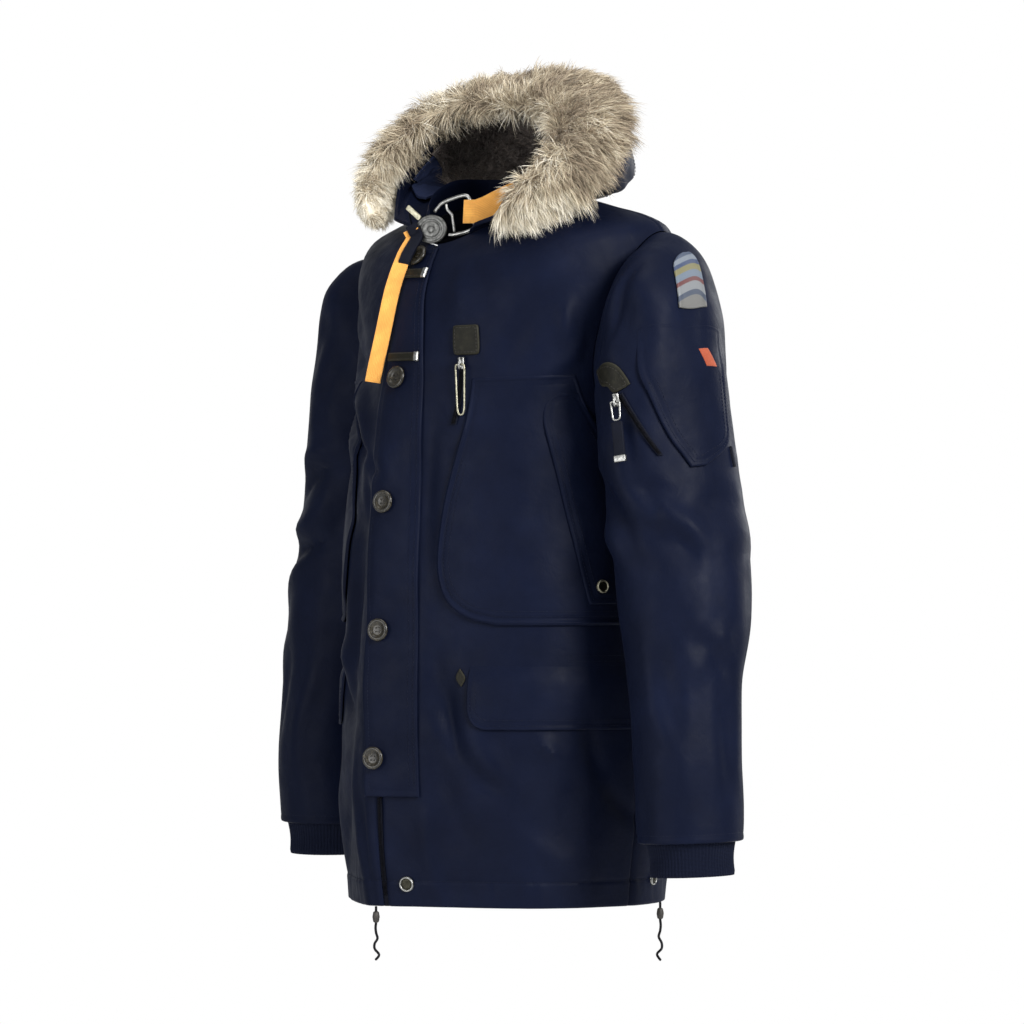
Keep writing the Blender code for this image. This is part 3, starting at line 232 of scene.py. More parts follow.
# ---------------------------------------------------------------- creases
# A crease runs from one end to the other, bowed sideways; width is across it, and rise is out of the
# cloth, so that a trough's is negative.  Each row is two places on the cloth (here arcs from the closure
# and heights), the bow, the width and the rise.
BODY_CREASES = (
    # chest and shoulder, the wearer's left
    (0.205, -0.085, 0.120, -0.165, 0.012, 0.014, -0.0022),
    (0.225, -0.130, 0.150, -0.175, -0.008, 0.010, 0.0020),
    (0.230, -0.165, 0.165, -0.185, 0.006, 0.009, -0.0018),
    (0.060, -0.050, 0.075, -0.115, -0.004, 0.016, 0.0016),
    (0.045, -0.210, 0.052, -0.400, 0.006, 0.013, -0.0034),
    (0.110, -0.070, 0.190, -0.055, 0.010, 0.018, 0.0018),
    # below the pouches, the wearer's left
    (0.060, -0.470, 0.092, -0.560, 0.008, 0.013, -0.0030),
    (0.086, -0.545, 0.150, -0.640, -0.010, 0.020, 0.0032),
    (0.066, -0.560, 0.110, -0.680, 0.012, 0.018, -0.0030),
    (0.185, -0.560, 0.215, -0.585, 0.004, 0.008, 0.0022),
    (0.240, -0.575, 0.205, -0.690, 0.010, 0.020, -0.0026),
    (0.290, -0.470, 0.310, -0.690, 0.000, 0.022, 0.0034),
    (0.140, -0.655, 0.235, -0.700, 0.006, 0.014, 0.0018),
    (0.052, -0.630, 0.060, -0.730, 0.003, 0.010, 0.0018),
    (0.2192, -0.1295, 0.2302, -0.1683, 0.003, 0.008, -0.0036),
    (0.1960, -0.1000, 0.1960, -0.1432, 0.003, 0.009, 0.0026),
    (0.0774, -0.5036, 0.1090, -0.5954, 0.010, 0.010, -0.0040),
    (0.1090, -0.5954, 0.1524, -0.6164, 0.004, 0.009, -0.0036),
    (0.1732, -0.5597, 0.1993, -0.5737, 0.002, 0.007, 0.0030),
    (0.2296, -0.5173, 0.2625, -0.6145, 0.006, 0.012, -0.0038),
    (0.2625, -0.6145, 0.3054, -0.6482, 0.004, 0.010, -0.0034),
    # the wearer's right front
    (-0.1800, -0.1275, -0.0695, -0.1721, 0.006, 0.010, -0.0042),
    (-0.1800, -0.1900, -0.1200, -0.2345, 0.004, 0.010, -0.0048),
    (-0.1200, -0.2345, -0.0501, -0.2538, 0.003, 0.008, -0.0044),
    (-0.0501, -0.2538, -0.0100, -0.2780, 0.002, 0.007, -0.0026),
    (-0.1500, -0.1640, -0.0650, -0.2160, 0.006, 0.012, 0.0036),
    (-0.1330, -0.4869, -0.0696, -0.5440, 0.006, 0.014, -0.0052),
    (-0.1200, -0.4500, -0.0600, -0.4920, 0.006, 0.012, 0.0034),
    (-0.190, -0.090, -0.105, -0.150, -0.010, 0.016, -0.0026),
    (-0.215, -0.150, -0.120, -0.250, 0.012, 0.016, 0.0040),
    (-0.200, -0.180, -0.090, -0.330, 0.018, 0.014, -0.0046),
    (-0.110, -0.170, -0.052, -0.300, -0.010, 0.013, 0.0034),
    (-0.060, -0.270, -0.040, -0.330, -0.004, 0.009, -0.0028),
    (-0.058, -0.330, -0.062, -0.560, 0.008, 0.013, -0.0032),
    (-0.085, -0.300, -0.092, -0.520, 0.008, 0.016, 0.0038),
    (-0.050, -0.560, -0.030, -0.700, 0.004, 0.010, 0.0028),
    (-0.024, -0.630, -0.016, -0.730, 0.002, 0.007, -0.0026),
    (-0.075, -0.580, -0.120, -0.700, 0.008, 0.017, -0.0030),
    (-0.160, -0.600, -0.130, -0.720, 0.010, 0.018, 0.0030),
    (-0.240, -0.560, -0.215, -0.700, 0.006, 0.018, -0.0026),
    (-0.290, -0.470, -0.310, -0.690, 0.000, 0.022, 0.0032),
    # the back
    (0.380, -0.110, 0.560, -0.150, 0.012, 0.020, -0.0026),
    (0.360, -0.190, 0.470, -0.265, 0.014, 0.016, 0.0034),
    (0.350, -0.230, 0.440, -0.330, 0.016, 0.015, -0.0036),
    (0.395, -0.350, 0.520, -0.420, 0.012, 0.019, 0.0030),
    (0.370, -0.430, 0.400, -0.600, 0.010, 0.022, -0.0034),
    (0.450, -0.460, 0.430, -0.690, 0.012, 0.024, 0.0036),
    (0.530, -0.500, 0.555, -0.700, 0.006, 0.020, -0.0028),
    (-0.380, -0.105, -0.540, -0.160, -0.010, 0.020, -0.0024),
    (-0.355, -0.200, -0.480, -0.250, -0.012, 0.017, 0.0032),
    (-0.345, -0.250, -0.430, -0.360, -0.016, 0.014, -0.0036),
    (-0.410, -0.330, -0.530, -0.380, -0.010, 0.018, 0.0028),
    (-0.360, -0.450, -0.395, -0.640, -0.012, 0.021, -0.0034),
    (-0.440, -0.430, -0.420, -0.660, -0.010, 0.024, 0.0034),
    (-0.500, -0.560, -0.520, -0.710, -0.006, 0.019, -0.0026),
)
# Sleeve creases are in turns and shares of the way down; the bow is in turns.
TURN_METRES = 0.066
SHARE_METRES = 0.40
LEFT_SLEEVE_CREASES = (
    (0.46, 1.073, 0.66, 1.170, 0.04, 0.009, -0.0040),
    (0.66, 1.170, 1.105, 1.297, 0.06, 0.009, -0.0044),
    (0.60, 1.10, 1.25, 1.235, 0.06, 0.012, 0.0036),
    (1.078, 1.514, 1.670, 1.572, 0.05, 0.009, -0.0038),
    (1.000, 1.455, 1.700, 1.500, 0.06, 0.011, 0.0030),
    (0.700, 0.264, 0.362, 0.464, -0.05, 0.009, -0.0034),
    (0.15, 0.30, 0.55, 0.62, 0.10, 0.011, -0.0026),
    (0.35, 0.22, 0.78, 0.55, 0.12, 0.012, 0.0026),
    (0.62, 0.30, 0.74, 0.62, -0.08, 0.009, -0.0020),
    (0.95, 0.40, 0.88, 0.66, 0.06, 0.010, 0.0016),
    (0.10, 0.72, 0.42, 1.02, 0.10, 0.010, -0.0030),
    (-0.25, 0.78, 0.20, 1.10, 0.10, 0.014, 0.0036),
    (0.25, 1.06, 1.05, 1.16, 0.12, 0.011, -0.0036),
    (0.45, 1.10, 1.35, 1.26, -0.10, 0.014, 0.0040),
    (0.20, 1.16, 0.95, 1.30, 0.10, 0.011, -0.0032),
    (1.20, 1.17, 1.95, 1.12, 0.08, 0.012, -0.0026),
    (1.45, 1.26, 2.30, 1.20, 0.06, 0.013, 0.0026),
    (-0.70, 1.02, 0.10, 1.20, 0.12, 0.012, -0.0042),
    (-0.85, 1.14, -0.05, 1.28, 0.12, 0.015, 0.0044),
    (1.05, 1.53, 1.55, 1.43, 0.06, 0.009, -0.0026),
    (0.90, 1.60, 1.50, 1.50, 0.05, 0.012, 0.0024),
    (0.35, 1.50, 0.60, 1.78, 0.06, 0.015, -0.0024),
    (0.15, 1.66, 0.80, 1.84, 0.10, 0.013, 0.0024),
    (1.60, 1.55, 1.90, 1.86, -0.06, 0.016, -0.0022),
    (2.40, 0.60, 2.75, 1.00, 0.10, 0.013, -0.0030),
    (2.60, 1.05, 3.40, 1.22, 0.12, 0.013, -0.0036),
    (2.50, 1.18, 3.45, 1.36, 0.10, 0.015, 0.0036),
    (3.10, 0.50, 3.50, 0.95, 0.10, 0.013, 0.0028),
    (4.00, 0.80, 4.60, 1.20, 0.10, 0.013, -0.0034),
    (4.10, 1.15, 5.00, 1.32, 0.10, 0.013, 0.0032),
    (3.60, 1.50, 4.30, 1.72, 0.10, 0.016, -0.0024),
)
RIGHT_SLEEVE_CREASES = (
    (0.05, 0.28, 0.50, 0.66, 0.12, 0.012, -0.0028),
    (0.30, 0.20, 0.85, 0.60, 0.12, 0.013, 0.0028),
    (0.85, 0.34, 1.20, 0.72, -0.10, 0.012, -0.0022),
    (-0.30, 0.85, 0.45, 1.02, 0.10, 0.012, 0.0034),
    (-0.45, 0.98, 0.60, 1.12, 0.14, 0.011, -0.0044),
    (-0.35, 1.08, 0.85, 1.22, -0.12, 0.013, 0.0046),
    (-0.50, 1.20, 0.55, 1.30, 0.12, 0.010, -0.0040),
    (-0.10, 1.28, 0.95, 1.44, 0.10, 0.013, 0.0032),
    (0.75, 1.02, 1.65, 1.18, 0.12, 0.013, -0.0030),
    (1.10, 1.24, 1.90, 1.16, 0.08, 0.012, 0.0026),
    (0.20, 1.52, 0.55, 1.82, 0.08, 0.014, -0.0028),
    (0.80, 1.60, 1.30, 1.46, 0.08, 0.012, 0.0024),
    (-0.50, 1.55, -0.20, 1.85, 0.08, 0.014, 0.0026),
    (-1.10, 1.05, -0.40, 1.22, 0.12, 0.013, -0.0036),
    (2.45, 0.55, 2.80, 1.00, 0.10, 0.013, -0.0030),
    (2.55, 1.02, 3.40, 1.24, 0.12, 0.013, -0.0036),
    (2.60, 1.20, 3.50, 1.38, 0.10, 0.015, 0.0034),
    (3.20, 0.50, 3.55, 0.95, 0.10, 0.013, 0.0028),
    (4.05, 0.85, 4.70, 1.22, 0.10, 0.013, -0.0034),
    (3.60, 1.52, 4.20, 1.74, 0.10, 0.016, -0.0024),
)
# Hood creases are in shares round and rises.
HOOD_SHARE_METRES = 0.40
HOOD_RISE_METRES = 0.20
HOOD_CREASES = (
    (-0.90, 0.20, -0.62, 0.55, 0.04, 0.012, -0.0034),
    (-0.80, 0.15, -0.45, 0.40, 0.05, 0.014, 0.0034),
    (-0.60, 0.10, -0.20, 0.28, 0.05, 0.013, -0.0034),
    (-0.35, 0.30, 0.10, 0.22, 0.05, 0.017, 0.0032),
    (-0.10, 0.16, 0.40, 0.30, 0.05, 0.013, -0.0032),
    (0.25, 0.45, 0.55, 0.20, 0.05, 0.015, 0.0030),
    (0.50, 0.12, 0.86, 0.30, 0.05, 0.012, -0.0034),
    (0.60, 0.60, 0.85, 0.30, 0.04, 0.012, 0.0026),
    (-0.25, 0.62, -0.05, 0.95, 0.02, 0.016, -0.0020),
    (0.08, 0.70, 0.22, 0.98, 0.02, 0.016, 0.0020),
)


# ---------------------------------------------------------------- settings
def tint(name, description, default):
    return FloatVectorProperty(
        name=name, description=description, default=default, subtype="COLOR", size=3, min=0, max=1)


def measure(name, description, default, **limits):
    return FloatProperty(name=name, description=description, default=default, unit="LENGTH", **limits)


def wattage(name, description, default):
    return FloatProperty(name=name, description=description, default=default, unit="POWER", min=0)


class ClothSettings(bpy.types.PropertyGroup):
    """The shell cloth and its sewing."""

    navy: tint("Shell Navy", "Colour of the shell cloth", (0.0038, 0.0060, 0.0178))
    lining_navy: tint("Lining Navy", "Colour of the hood's inside cloth", (0.0200, 0.0270, 0.0620))
    thread: tint("Thread", "Colour of the topstitching", (0.0044, 0.0068, 0.0190))
    twill_pitch: measure(
        "Twill Pitch", "From one diagonal rib of the weave to the next", 0.0009, min=0.0002, max=0.005)
    crease: FloatProperty(
        name="Creasing", description="How deep the creases are, as a share of their usual depth",
        default=1.75,
        subtype="FACTOR", min=0, max=2)
    pucker: measure("Seam Pucker", "How far a seam sinks into the filling", 0.0016, min=0, max=0.004)
    stitch_length: measure("Stitch Length", "Length of one topstitch", 0.0030, min=0.001, max=0.01)
    stitch_gap: measure("Stitch Gap", "Gap between topstitches", 0.0010, min=0.0002, max=0.01)
    thread_radius: measure(
        "Thread Radius", "Half the thickness of the thread", 0.00032, min=0.0001, max=0.001)
    rib_count: IntProperty(
        name="Cuff Ribs", description="Knitted ribs round a cuff", default=76, min=20, max=140)


class FurSettings(bpy.types.PropertyGroup):
    """The ruff and the plush lining."""

    guard_hairs: IntProperty(
        name="Guard Hairs", description="Long hairs on the ruff, in each of its bands",
        default=22000, min=100,
        max=39000)
    guard_length: measure("Guard Hair Length", "Length of the longest hairs", 0.034, min=0.005, max=0.06)
    hair_width: measure("Hair Width", "Width of a hair at its root", 0.00085, min=0.0001, max=0.002)
    cream: tint("Cream", "Colour of the fur's pale hair", (0.92, 0.87, 0.75))
    tan: tint("Tan", "Colour of the fur's middle", (0.58, 0.50, 0.36))
    umber: tint("Umber", "Colour of the fur's dark hair", (0.175, 0.138, 0.096))
    pile: tint("Pile", "Colour of the plush lining", (0.150, 0.125, 0.110))
    pile_hairs: IntProperty(
        name="Pile Hairs", description="Hairs of the plush lining", default=17000, min=100, max=60000)
    pile_length: measure("Pile Length", "Length of the plush", 0.0105, min=0.002, max=0.02)


class TrimSettings(bpy.types.PropertyGroup):
    """Leather, horn, metal, webbing and labels."""

    leather: tint("Leather", "Colour of the leather tabs", (0.0085, 0.0080, 0.0050))
    horn: tint("Horn", "Colour of the buttons", (0.0130, 0.0105, 0.0060))
    silver: tint("Silver", "Colour of the bright metal", (0.37, 0.37, 0.355))
    brass: tint("Old Brass", "Colour of the aged brass", (0.42, 0.40, 0.30))
    webbing: tint("Webbing", "Colour of the hanging strap", (0.86, 0.40, 0.085))
    tag: tint("Tag", "Colour of the small label", (0.37, 0.072, 0.028))
    cord: tint("Cord", "Colour of the draw cord", (0.006, 0.006, 0.008))


class StageSettings(bpy.types.PropertyGroup):
    """Camera, lights and floor."""

    camera_azimuth: FloatProperty(
        name="Camera Azimuth", description="How far round to the wearer's left the camera stands",
        default=math.radians(50), subtype="ANGLE")
    camera_distance: measure("Camera Distance", "From the coat's upright axis", 7.0, min=1)
    camera_height: measure("Camera Height", "Height of the camera above the neck", -0.3157)
    frame_width: measure("Frame Width", "Width of the view at the coat", 1.1264, min=0.1)
    floor_height: measure("Floor Height", "Height of the floor above the neck, where a wearer stands", -1.45)
    key_power: wattage("Key Light", "Power of the large light beside the camera", 150.0)
    fill_power: wattage("Fill Light", "Power of the light in front of the coat", 56.0)
    back_power: wattage("Back Lights", "Power of each light behind the coat", 40.0)
    sky: FloatProperty(
        name="Sky", description="Strength of the even light from all round", default=0.36, min=0, max=4)


def cloth():
    return bpy.context.scene.parka_cloth


def fur():
    return bpy.context.scene.parka_fur


def trim():
    return bpy.context.scene.parka_trim


def stage():
    return bpy.context.scene.parka_stage


# ---------------------------------------------------------------- curves through tables
def through(xs, ys, x):
    """A smooth curve through the points (xs, ys), read at one x."""
    if xs[0] > xs[-1]:
        xs, ys = xs[::-1], ys[::-1]
    x = min(max(x, xs[0]), xs[-1])
    i = min(max(bisect.bisect_right(xs, x) - 1, 0), len(xs) - 2)

    def slope(k):
        low, high = max(k - 1, 0), min(k + 1, len(xs) - 1)
        return (ys[high] - ys[low]) / (xs[high] - xs[low])

    step = xs[i + 1] - xs[i]
    t = (x - xs[i]) / step
    return ((2 * t**3 - 3 * t**2 + 1) * ys[i] + (t**3 - 2 * t**2 + t) * step * slope(i)
            + (3 * t**2 - 2 * t**3) * ys[i + 1] + (t**3 - t**2) * step * slope(i + 1))


def column(table, columns, name):
    return [row[columns.index(name)] for row in table]


def hill(away, width):
    """1 at no distance away, and falling off smoothly over about this width."""
    return math.exp(-((away / width) ** 2))


def ease(low, high, x):
    """0 below low, 1 above high, and smooth between."""
    t = min(max((x - low) / (high - low), 0), 1)
    return t * t * (3 - 2 * t)


SECTION_CURVES = {name: column(SECTIONS, SECTION_COLUMNS, name) for name in SECTION_COLUMNS}
SLEEVE_CURVES = {name: column(SLEEVE_SECTIONS, SLEEVE_COLUMNS, name) for name in SLEEVE_COLUMNS}
TOP_LEVEL = SECTION_CURVES["level"][-1]
SLEEVE_TOP = SLEEVE_CURVES["z"][0]


@functools.lru_cache(maxsize=None)
def section(name, level):
    return through(SECTION_CURVES["level"], SECTION_CURVES[name], level)


# ---------------------------------------------------------------- the body's surface
@functools.lru_cache(maxsize=None)
def body_point(angle, level):
    """A point of the body. angle is from the centre front, towards the wearer's left."""
    side, ahead = math.sin(angle), math.cos(angle)
    y_side, power = section("y_side", level), 2 / section("square", level)
    x = section("half_width", level) * math.copysign(abs(side) ** power, side)
    if ahead > 0:
        bow = abs(side) ** 2 / (abs(side) + KEEL_TIP) * (1 - abs(side))
        y = y_side - (y_side - section("y_front", level)) * (ahead**power - section("keel", level) * bow)
        z = level + (section("z_front", level) - level) * ahead**2
    else:
        y = y_side + (section("y_back", level) - y_side) * (-ahead) ** power
        z = level + (section("z_back", level) - level) * ahead**2
    return Vector((x, y, z))


@functools.lru_cache(maxsize=None)
def body_normal(angle, level):
    e = 0.004
    across = body_point(angle + e, level) - body_point(angle - e, level)
    up = body_point(angle, min(level + e, TOP_LEVEL)) - body_point(angle, level - e)
    return across.cross(up).normalized()


ARC_STEPS = 120


@functools.lru_cache(maxsize=None)
def girth(level):
    """Girth from the keel's middle round to the back, at each of ARC_STEPS angles."""
    total, last, lengths = 0.0, body_point(0.0, level), [0.0]
    for i in range(1, ARC_STEPS + 1):
        here = body_point(math.pi * i / ARC_STEPS, level)
        total += (here - last).length
        lengths.append(total)
        last = here
    return lengths


def arc_angle(arc, level):
    """The angle at which the girth at this level, from the keel's middle, is arc."""
    lengths = girth(level)
    i = min(bisect.bisect_right(lengths, abs(arc)) - 1, ARC_STEPS - 1)
    share = (abs(arc) - lengths[i]) / (lengths[i + 1] - lengths[i])
    return math.copysign(math.pi * (i + share) / ARC_STEPS, arc)


def angle_arc(angle, level):
    """The girth from the keel's middle to this angle, by the shorter way round."""
    angle = (angle + math.pi) % (2 * math.pi) - math.pi
    lengths = girth(level)
    place = min(abs(angle) / math.pi * ARC_STEPS, ARC_STEPS - 1e-9)
    i = int(place)
    return math.copysign(lengths[i] + (lengths[i + 1] - lengths[i]) * (place - i), angle)


@functools.lru_cache(maxsize=None)
def drift(level):
    """How far round from the keel's middle the front closure runs at this level."""
    return through([row[0] for row in CLOSURE_DRIFT], [row[1] for row in CLOSURE_DRIFT], level)


@functools.lru_cache(maxsize=None)
def front_level(z):
    """The level whose centre front is at height z."""
    return through(SECTION_CURVES["z_front"], SECTION_CURVES["level"], z)


@functools.lru_cache(maxsize=None)
def front_height(level):
    return section("z_front", level)


def creases(table, x, y, x_metres, y_metres):
    """How far the creases of a table lift the cloth at (x, y)."""
    total = 0.0
    for start_a, start_b, end_a, end_b, bow, width, rise in table:
        dx, dy = (end_a - start_a) * x_metres, (end_b - start_b) * y_metres
        px, py = (x - start_a) * x_metres, (y - start_b) * y_metres
        length = math.hypot(dx, dy)
        t = (px * dx + py * dy) / (length * length)
        if -0.2 < t < 1.2:
            off = (px * dy - py * dx) / length - bow * x_metres * 4 * t * (1 - t)
            if abs(off) < 2.6 * width:
                total += rise * math.sin(math.pi * (t + 0.2) / 1.4) ** 1.5 * hill(off, width)
    return total


SLIDER_CALM = 0.030  # round a zip's pull the cloth lies smooth
CHEST_CALM = (0.0765, -0.175)
ARM_CALM = (0.325, 0.76)


def armhole_yz(turn, shrink=0.0):
    """Armhole edge seen from the side. turn is 0 at the front, a quarter turn at the shoulder."""
    top, bottom = ARMHOLE_Z
    half = (top - bottom) / 2 - shrink
    z = (top + bottom) / 2 + half * math.sin(turn)
    lean = ARMHOLE_LEAN * (z - (top + bottom) / 2)
    return ARMHOLE_Y + lean - (ARMHOLE_HALF_DEPTH - shrink) * math.cos(turn), z


def armhole_reach(y, z):
    """1 on the armhole's edge, seen from the side, and more away from it."""
    middle = (ARMHOLE_Z[0] + ARMHOLE_Z[1]) / 2
    dz = z - middle
    dy = y - ARMHOLE_Y - ARMHOLE_LEAN * dz
    return math.hypot(dy / ARMHOLE_HALF_DEPTH, dz / ((ARMHOLE_Z[0] - ARMHOLE_Z[1]) / 2))


def body_relief(arc, z, point):
    """How far the creased and quilted surface stands off the plain body at a point."""
    lift = creases(BODY_CREASES, arc, z, 1.0, 1.0)
    lift += 0.0017 * noise.noise(point * 8) + 0.0007 * noise.noise(point * 23)
    calm = ease(1.0, 1.45, armhole_reach(point.y, point.z)) if point.z > -0.26 else 1.0
    calm *= 1 - hill(math.hypot(arc - CHEST_CALM[0], z - CHEST_CALM[1]), SLIDER_CALM)
    return lift * cloth().crease * calm


def heading(angle):
    """The level direction this far round from the front, towards the wearer's left."""
    return Vector((math.sin(angle), -math.cos(angle), 0))


def mirrored(point, side):
    return Vector((side * point.x, point.y, point.z))


def on_body(arc, z, out=0.0, side=1):
    """A point on the creased body, arc metres round from the closure at height z, moved out of the cloth.
    With side -1 it is the mirrored place on the wearer's right."""
    level = front_level(z)
    angle = arc_angle(arc + drift(level), level)
    point = mirrored(body_point(angle, level), side)
    if side < 0:
        arc = -arc - 2 * drift(level)
    return point + mirrored(body_normal(angle, level), side) * (out + body_relief(arc, z, point))


def plain_on_body(arc, z, out=0.0):
    """The same point as on_body, on the body without creases."""
    level = front_level(z)
    angle = arc_angle(arc + drift(level), level)
    return body_point(angle, level) + body_normal(angle, level) * out


def frame_on_body(arc, z, out=0.0):
    """A matrix on the plain body: +Z out of the cloth, +Y up it, +X to the wearer's left."""
    here = plain_on_body(arc, z, out)
    normal = (plain_on_body(arc, z, out + 0.01) - plain_on_body(arc, z, out)).normalized()
    up = (plain_on_body(arc, z + 0.01, out) - plain_on_body(arc, z - 0.01, out)).normalized()
    across = up.cross(normal).normalized()
    return matrix_of(here, across, normal.cross(across), normal)


def matrix_of(place, x, y, z):
    return Matrix((
        (x.x, y.x, z.x, place.x),
        (x.y, y.y, z.y, place.y),
        (x.z, y.z, z.z, place.z),
        (0, 0, 0, 1),
    ))


# ---------------------------------------------------------------- the sleeve's surface
def body_x(y, z):
    """How far the body's left side stands out at this depth and height."""
    level = z
    for _ in range(14):
        low, high = 0.02, math.pi - 0.02
        for _ in range(26):
            middle = (low + high) / 2
            if body_point(middle, level).y < y:
                low = middle
            else:
                high = middle
        point = body_point((low + high) / 2, level)
        level = min(level + (z - point.z), TOP_LEVEL)
    return point.x


@functools.lru_cache(maxsize=None)
def sleeve_section(name, z):
    return through(SLEEVE_CURVES["z"], SLEEVE_CURVES[name], z)


@functools.lru_cache(maxsize=None)
def sleeve_frame(z):
    """Centre of the sleeve at height z, its run, and the outward and forward directions."""
    step = 0.01
    low, high = max(z - step, SLEEVE_HEM_Z), min(z + step, SLEEVE_TOP)
    centre = Vector((sleeve_section("x", z), sleeve_section("y", z), z))
    run = Vector((sleeve_section("x", low) - sleeve_section("x", high),
                  sleeve_section("y", low) - sleeve_section("y", high), low - high)).normalized()
    forward = (Vector((0, -1, 0)) + run * run.y).normalized()
    outward = forward.cross(run).normalized()
    if outward.x < 0:
        outward = -outward
    return centre, run, outward, forward


def sleeve_ring(turn, z):
    centre, _, outward, forward = sleeve_frame(z)
    return (centre + outward * sleeve_section("r_side", z) * math.sin(turn)
            + forward * sleeve_section("r_depth", z) * math.cos(turn))


CAP_TURNS = 192


def quarter_round(share):
    """Height of a rounded edge at this share of its radius in, level past 1."""
    return math.sqrt(max(0.0, 1 - (1 - min(share, 1)) ** 2))


def rounded_rim(distance, radius):
    """How far a surface has turned in, this far from its edge."""
    return -radius * (1 - quarter_round(distance / radius))


@functools.lru_cache(maxsize=None)
def cap_table():
    """The armhole's edge in space."""
    edge = [armhole_yz(2 * math.pi * i / CAP_TURNS, ARMHOLE_GAP) for i in range(CAP_TURNS)]
    return [Vector((body_x(y, z), y, z)) for y, z in edge]


def cap_edge(turn):
    table = cap_table()
    place = (turn / (2 * math.pi) * CAP_TURNS) % CAP_TURNS
    i = min(int(place), CAP_TURNS - 1)
    return table[i].lerp(table[(i + 1) % CAP_TURNS], place - i)


SHOULDER_WAY = Vector((0.95, 0, -0.12))
ARMPIT_WAY = Vector((0.62, 0, -0.78))


def cap_leave(turn):
    """The way the sleeve leaves the armhole: along the shoulder at the top, out and down below."""
    up, fore = math.sin(turn), math.cos(turn)
    rise = CAP_RISE * max(up, 0) * max(fore, 0)
    flank = Vector((
        0.80, -(0.70 + 0.9 * max(up, 0) if fore > 0 else 0.40) * fore, -0.30 + rise)) * (1 - up**2)
    way = flank + (SHOULDER_WAY if up > 0 else ARMPIT_WAY) * up**2
    return way.normalized()


@functools.lru_cache(maxsize=None)
def sleeve_point(turn, along):
    """along is 0 to 1 over the cap and 1 to 2 down the arm to the hem."""
    if along >= 1:
        return sleeve_ring(turn, SLEEVE_TOP + (along - 1) * (SLEEVE_HEM_Z - SLEEVE_TOP))
    start, end = cap_edge(turn), sleeve_ring(turn, SLEEVE_TOP)
    _, run, _, _ = sleeve_frame(SLEEVE_TOP)
    reach = (end - start).length * 1.15
    swell = 1 + 2 * CAP_SWELL * max(math.sin(turn), 0) * max(math.cos(turn), 0)
    t = along
    return (start * (2 * t**3 - 3 * t**2 + 1) + cap_leave(turn) * reach * swell * (t**3 - 2 * t**2 + t)
            + end * (3 * t**2 - 2 * t**3) + run * reach * (t**3 - t**2))


def sleeve_normal(turn, along, e=0.02):
    around = sleeve_point(turn + e, along) - sleeve_point(turn - e, along)
    down = sleeve_point(turn, min(along + e, 2)) - sleeve_point(turn, max(along - e, 0))
    return down.cross(around).normalized()


def sleeve_relief(turn, along, side=1):
    table = LEFT_SLEEVE_CREASES if side > 0 else RIGHT_SLEEVE_CREASES
    lift = sum(creases(table, turn + whole, along, TURN_METRES, SHARE_METRES) for whole in (0, -2 * math.pi))
    way = Vector((math.cos(turn), math.sin(turn), along * 2.4 + side * 5))
    lift += 0.0022 * noise.noise(way) + 0.0008 * noise.noise(way * 2.9)
    if side > 0:
        away = math.hypot((turn - ARM_CALM[0]) * TURN_METRES, (along - ARM_CALM[1]) * SHARE_METRES)
        lift *= 1 - hill(away, SLIDER_CALM)
    return lift * cloth().crease * ease(0.02, 0.22, along) * (1 - 0.6 * ease(1.9, 2.0, along))


def on_sleeve(turn, along, out=0.0, side=1):
    lift = out + sleeve_relief(turn, along, side)
    return mirrored(sleeve_point(turn, along) + sleeve_normal(turn, along) * lift, side)


def frame_on_sleeve(turn, along, out):
    here, normal = sleeve_point(turn, along), sleeve_normal(turn, along, 0.01)
    up = (sleeve_point(turn, along - 0.02) - sleeve_point(turn, along + 0.02)).normalized()
    across = up.cross(normal).normalized()
    return matrix_of(here + normal * out, across, normal.cross(across), normal)


# ---------------------------------------------------------------- the hood's surface
@functools.lru_cache(maxsize=None)
def ruff_value(name, share):
    shares, values = column(RUFF_LINE, RUFF_COLUMNS, "share"), column(RUFF_LINE, RUFF_COLUMNS, name)
    sign = -1 if name == "x" else 1
    return through([-v for v in shares[:0:-1]] + shares, [sign * v for v in values[:0:-1]] + values, share)


@functools.lru_cache(maxsize=None)
def ruff_frame(share):
    """Middle of the fur band, its width (outwards and back) and its depth (outwards and forward)."""
    middle = Vector([ruff_value(name, share) for name in ("x", "y", "z")])
    if share < 0:
        middle.z += ruff_value("rise_right", share)
    out = Vector((middle.x, 0, middle.z - 0.035)).normalized()
    back = Vector((0, 1, 0))
    return middle, out * 0.5 + back * 0.866, out * 0.866 - back * 0.5


@functools.lru_cache(maxsize=None)
def hood_point(share, rise):
    """share runs -1 to 1 from front to front, round the back; rise is 0 at the neck, 1 at the opening."""
    angle = math.copysign(math.pi - (math.pi - NECK_FRONT_ANGLE) * abs(share), share if share else 1)
    start = body_point(angle, TOP_LEVEL) + Vector((0, 0, 0.0012))
    middle, width, depth = ruff_frame(share)
    end = middle - depth * (RUFF_HALF_DEPTH * ruff_value("size", share) + 0.0016 + 0.0016 * abs(share))
    away = heading(angle)
    full = 1 - abs(share) ** 5
    slump = start + away * (0.004 + 0.076 * full) + Vector((0, 0, 0.010 - 0.003 * full))
    above = end + width * (0.004 + 0.058 * full) - Vector((0, 0, 0.004))
    t = rise
    return start * (1 - t) ** 3 + slump * 3 * t * (1 - t) ** 2 + above * 3 * t * t * (1 - t) + end * t**3


COLLAR_INSIDE = 0.0046  # from the neckline in to the collar's outer face
COLLAR_LEAN = 0.004
COLLAR_FOOT = -0.006
COLLAR_HEIGHT = 0.034


def stand_point(angle, rise, inside):
    """The collar inside the hood: rise 0 to 1 up it, inside metres in from its outer face."""
    away = heading(angle)
    return (body_point(angle, TOP_LEVEL) - away * (COLLAR_INSIDE + COLLAR_LEAN * rise + inside)
            + Vector((0, 0, COLLAR_FOOT + COLLAR_HEIGHT * rise)))


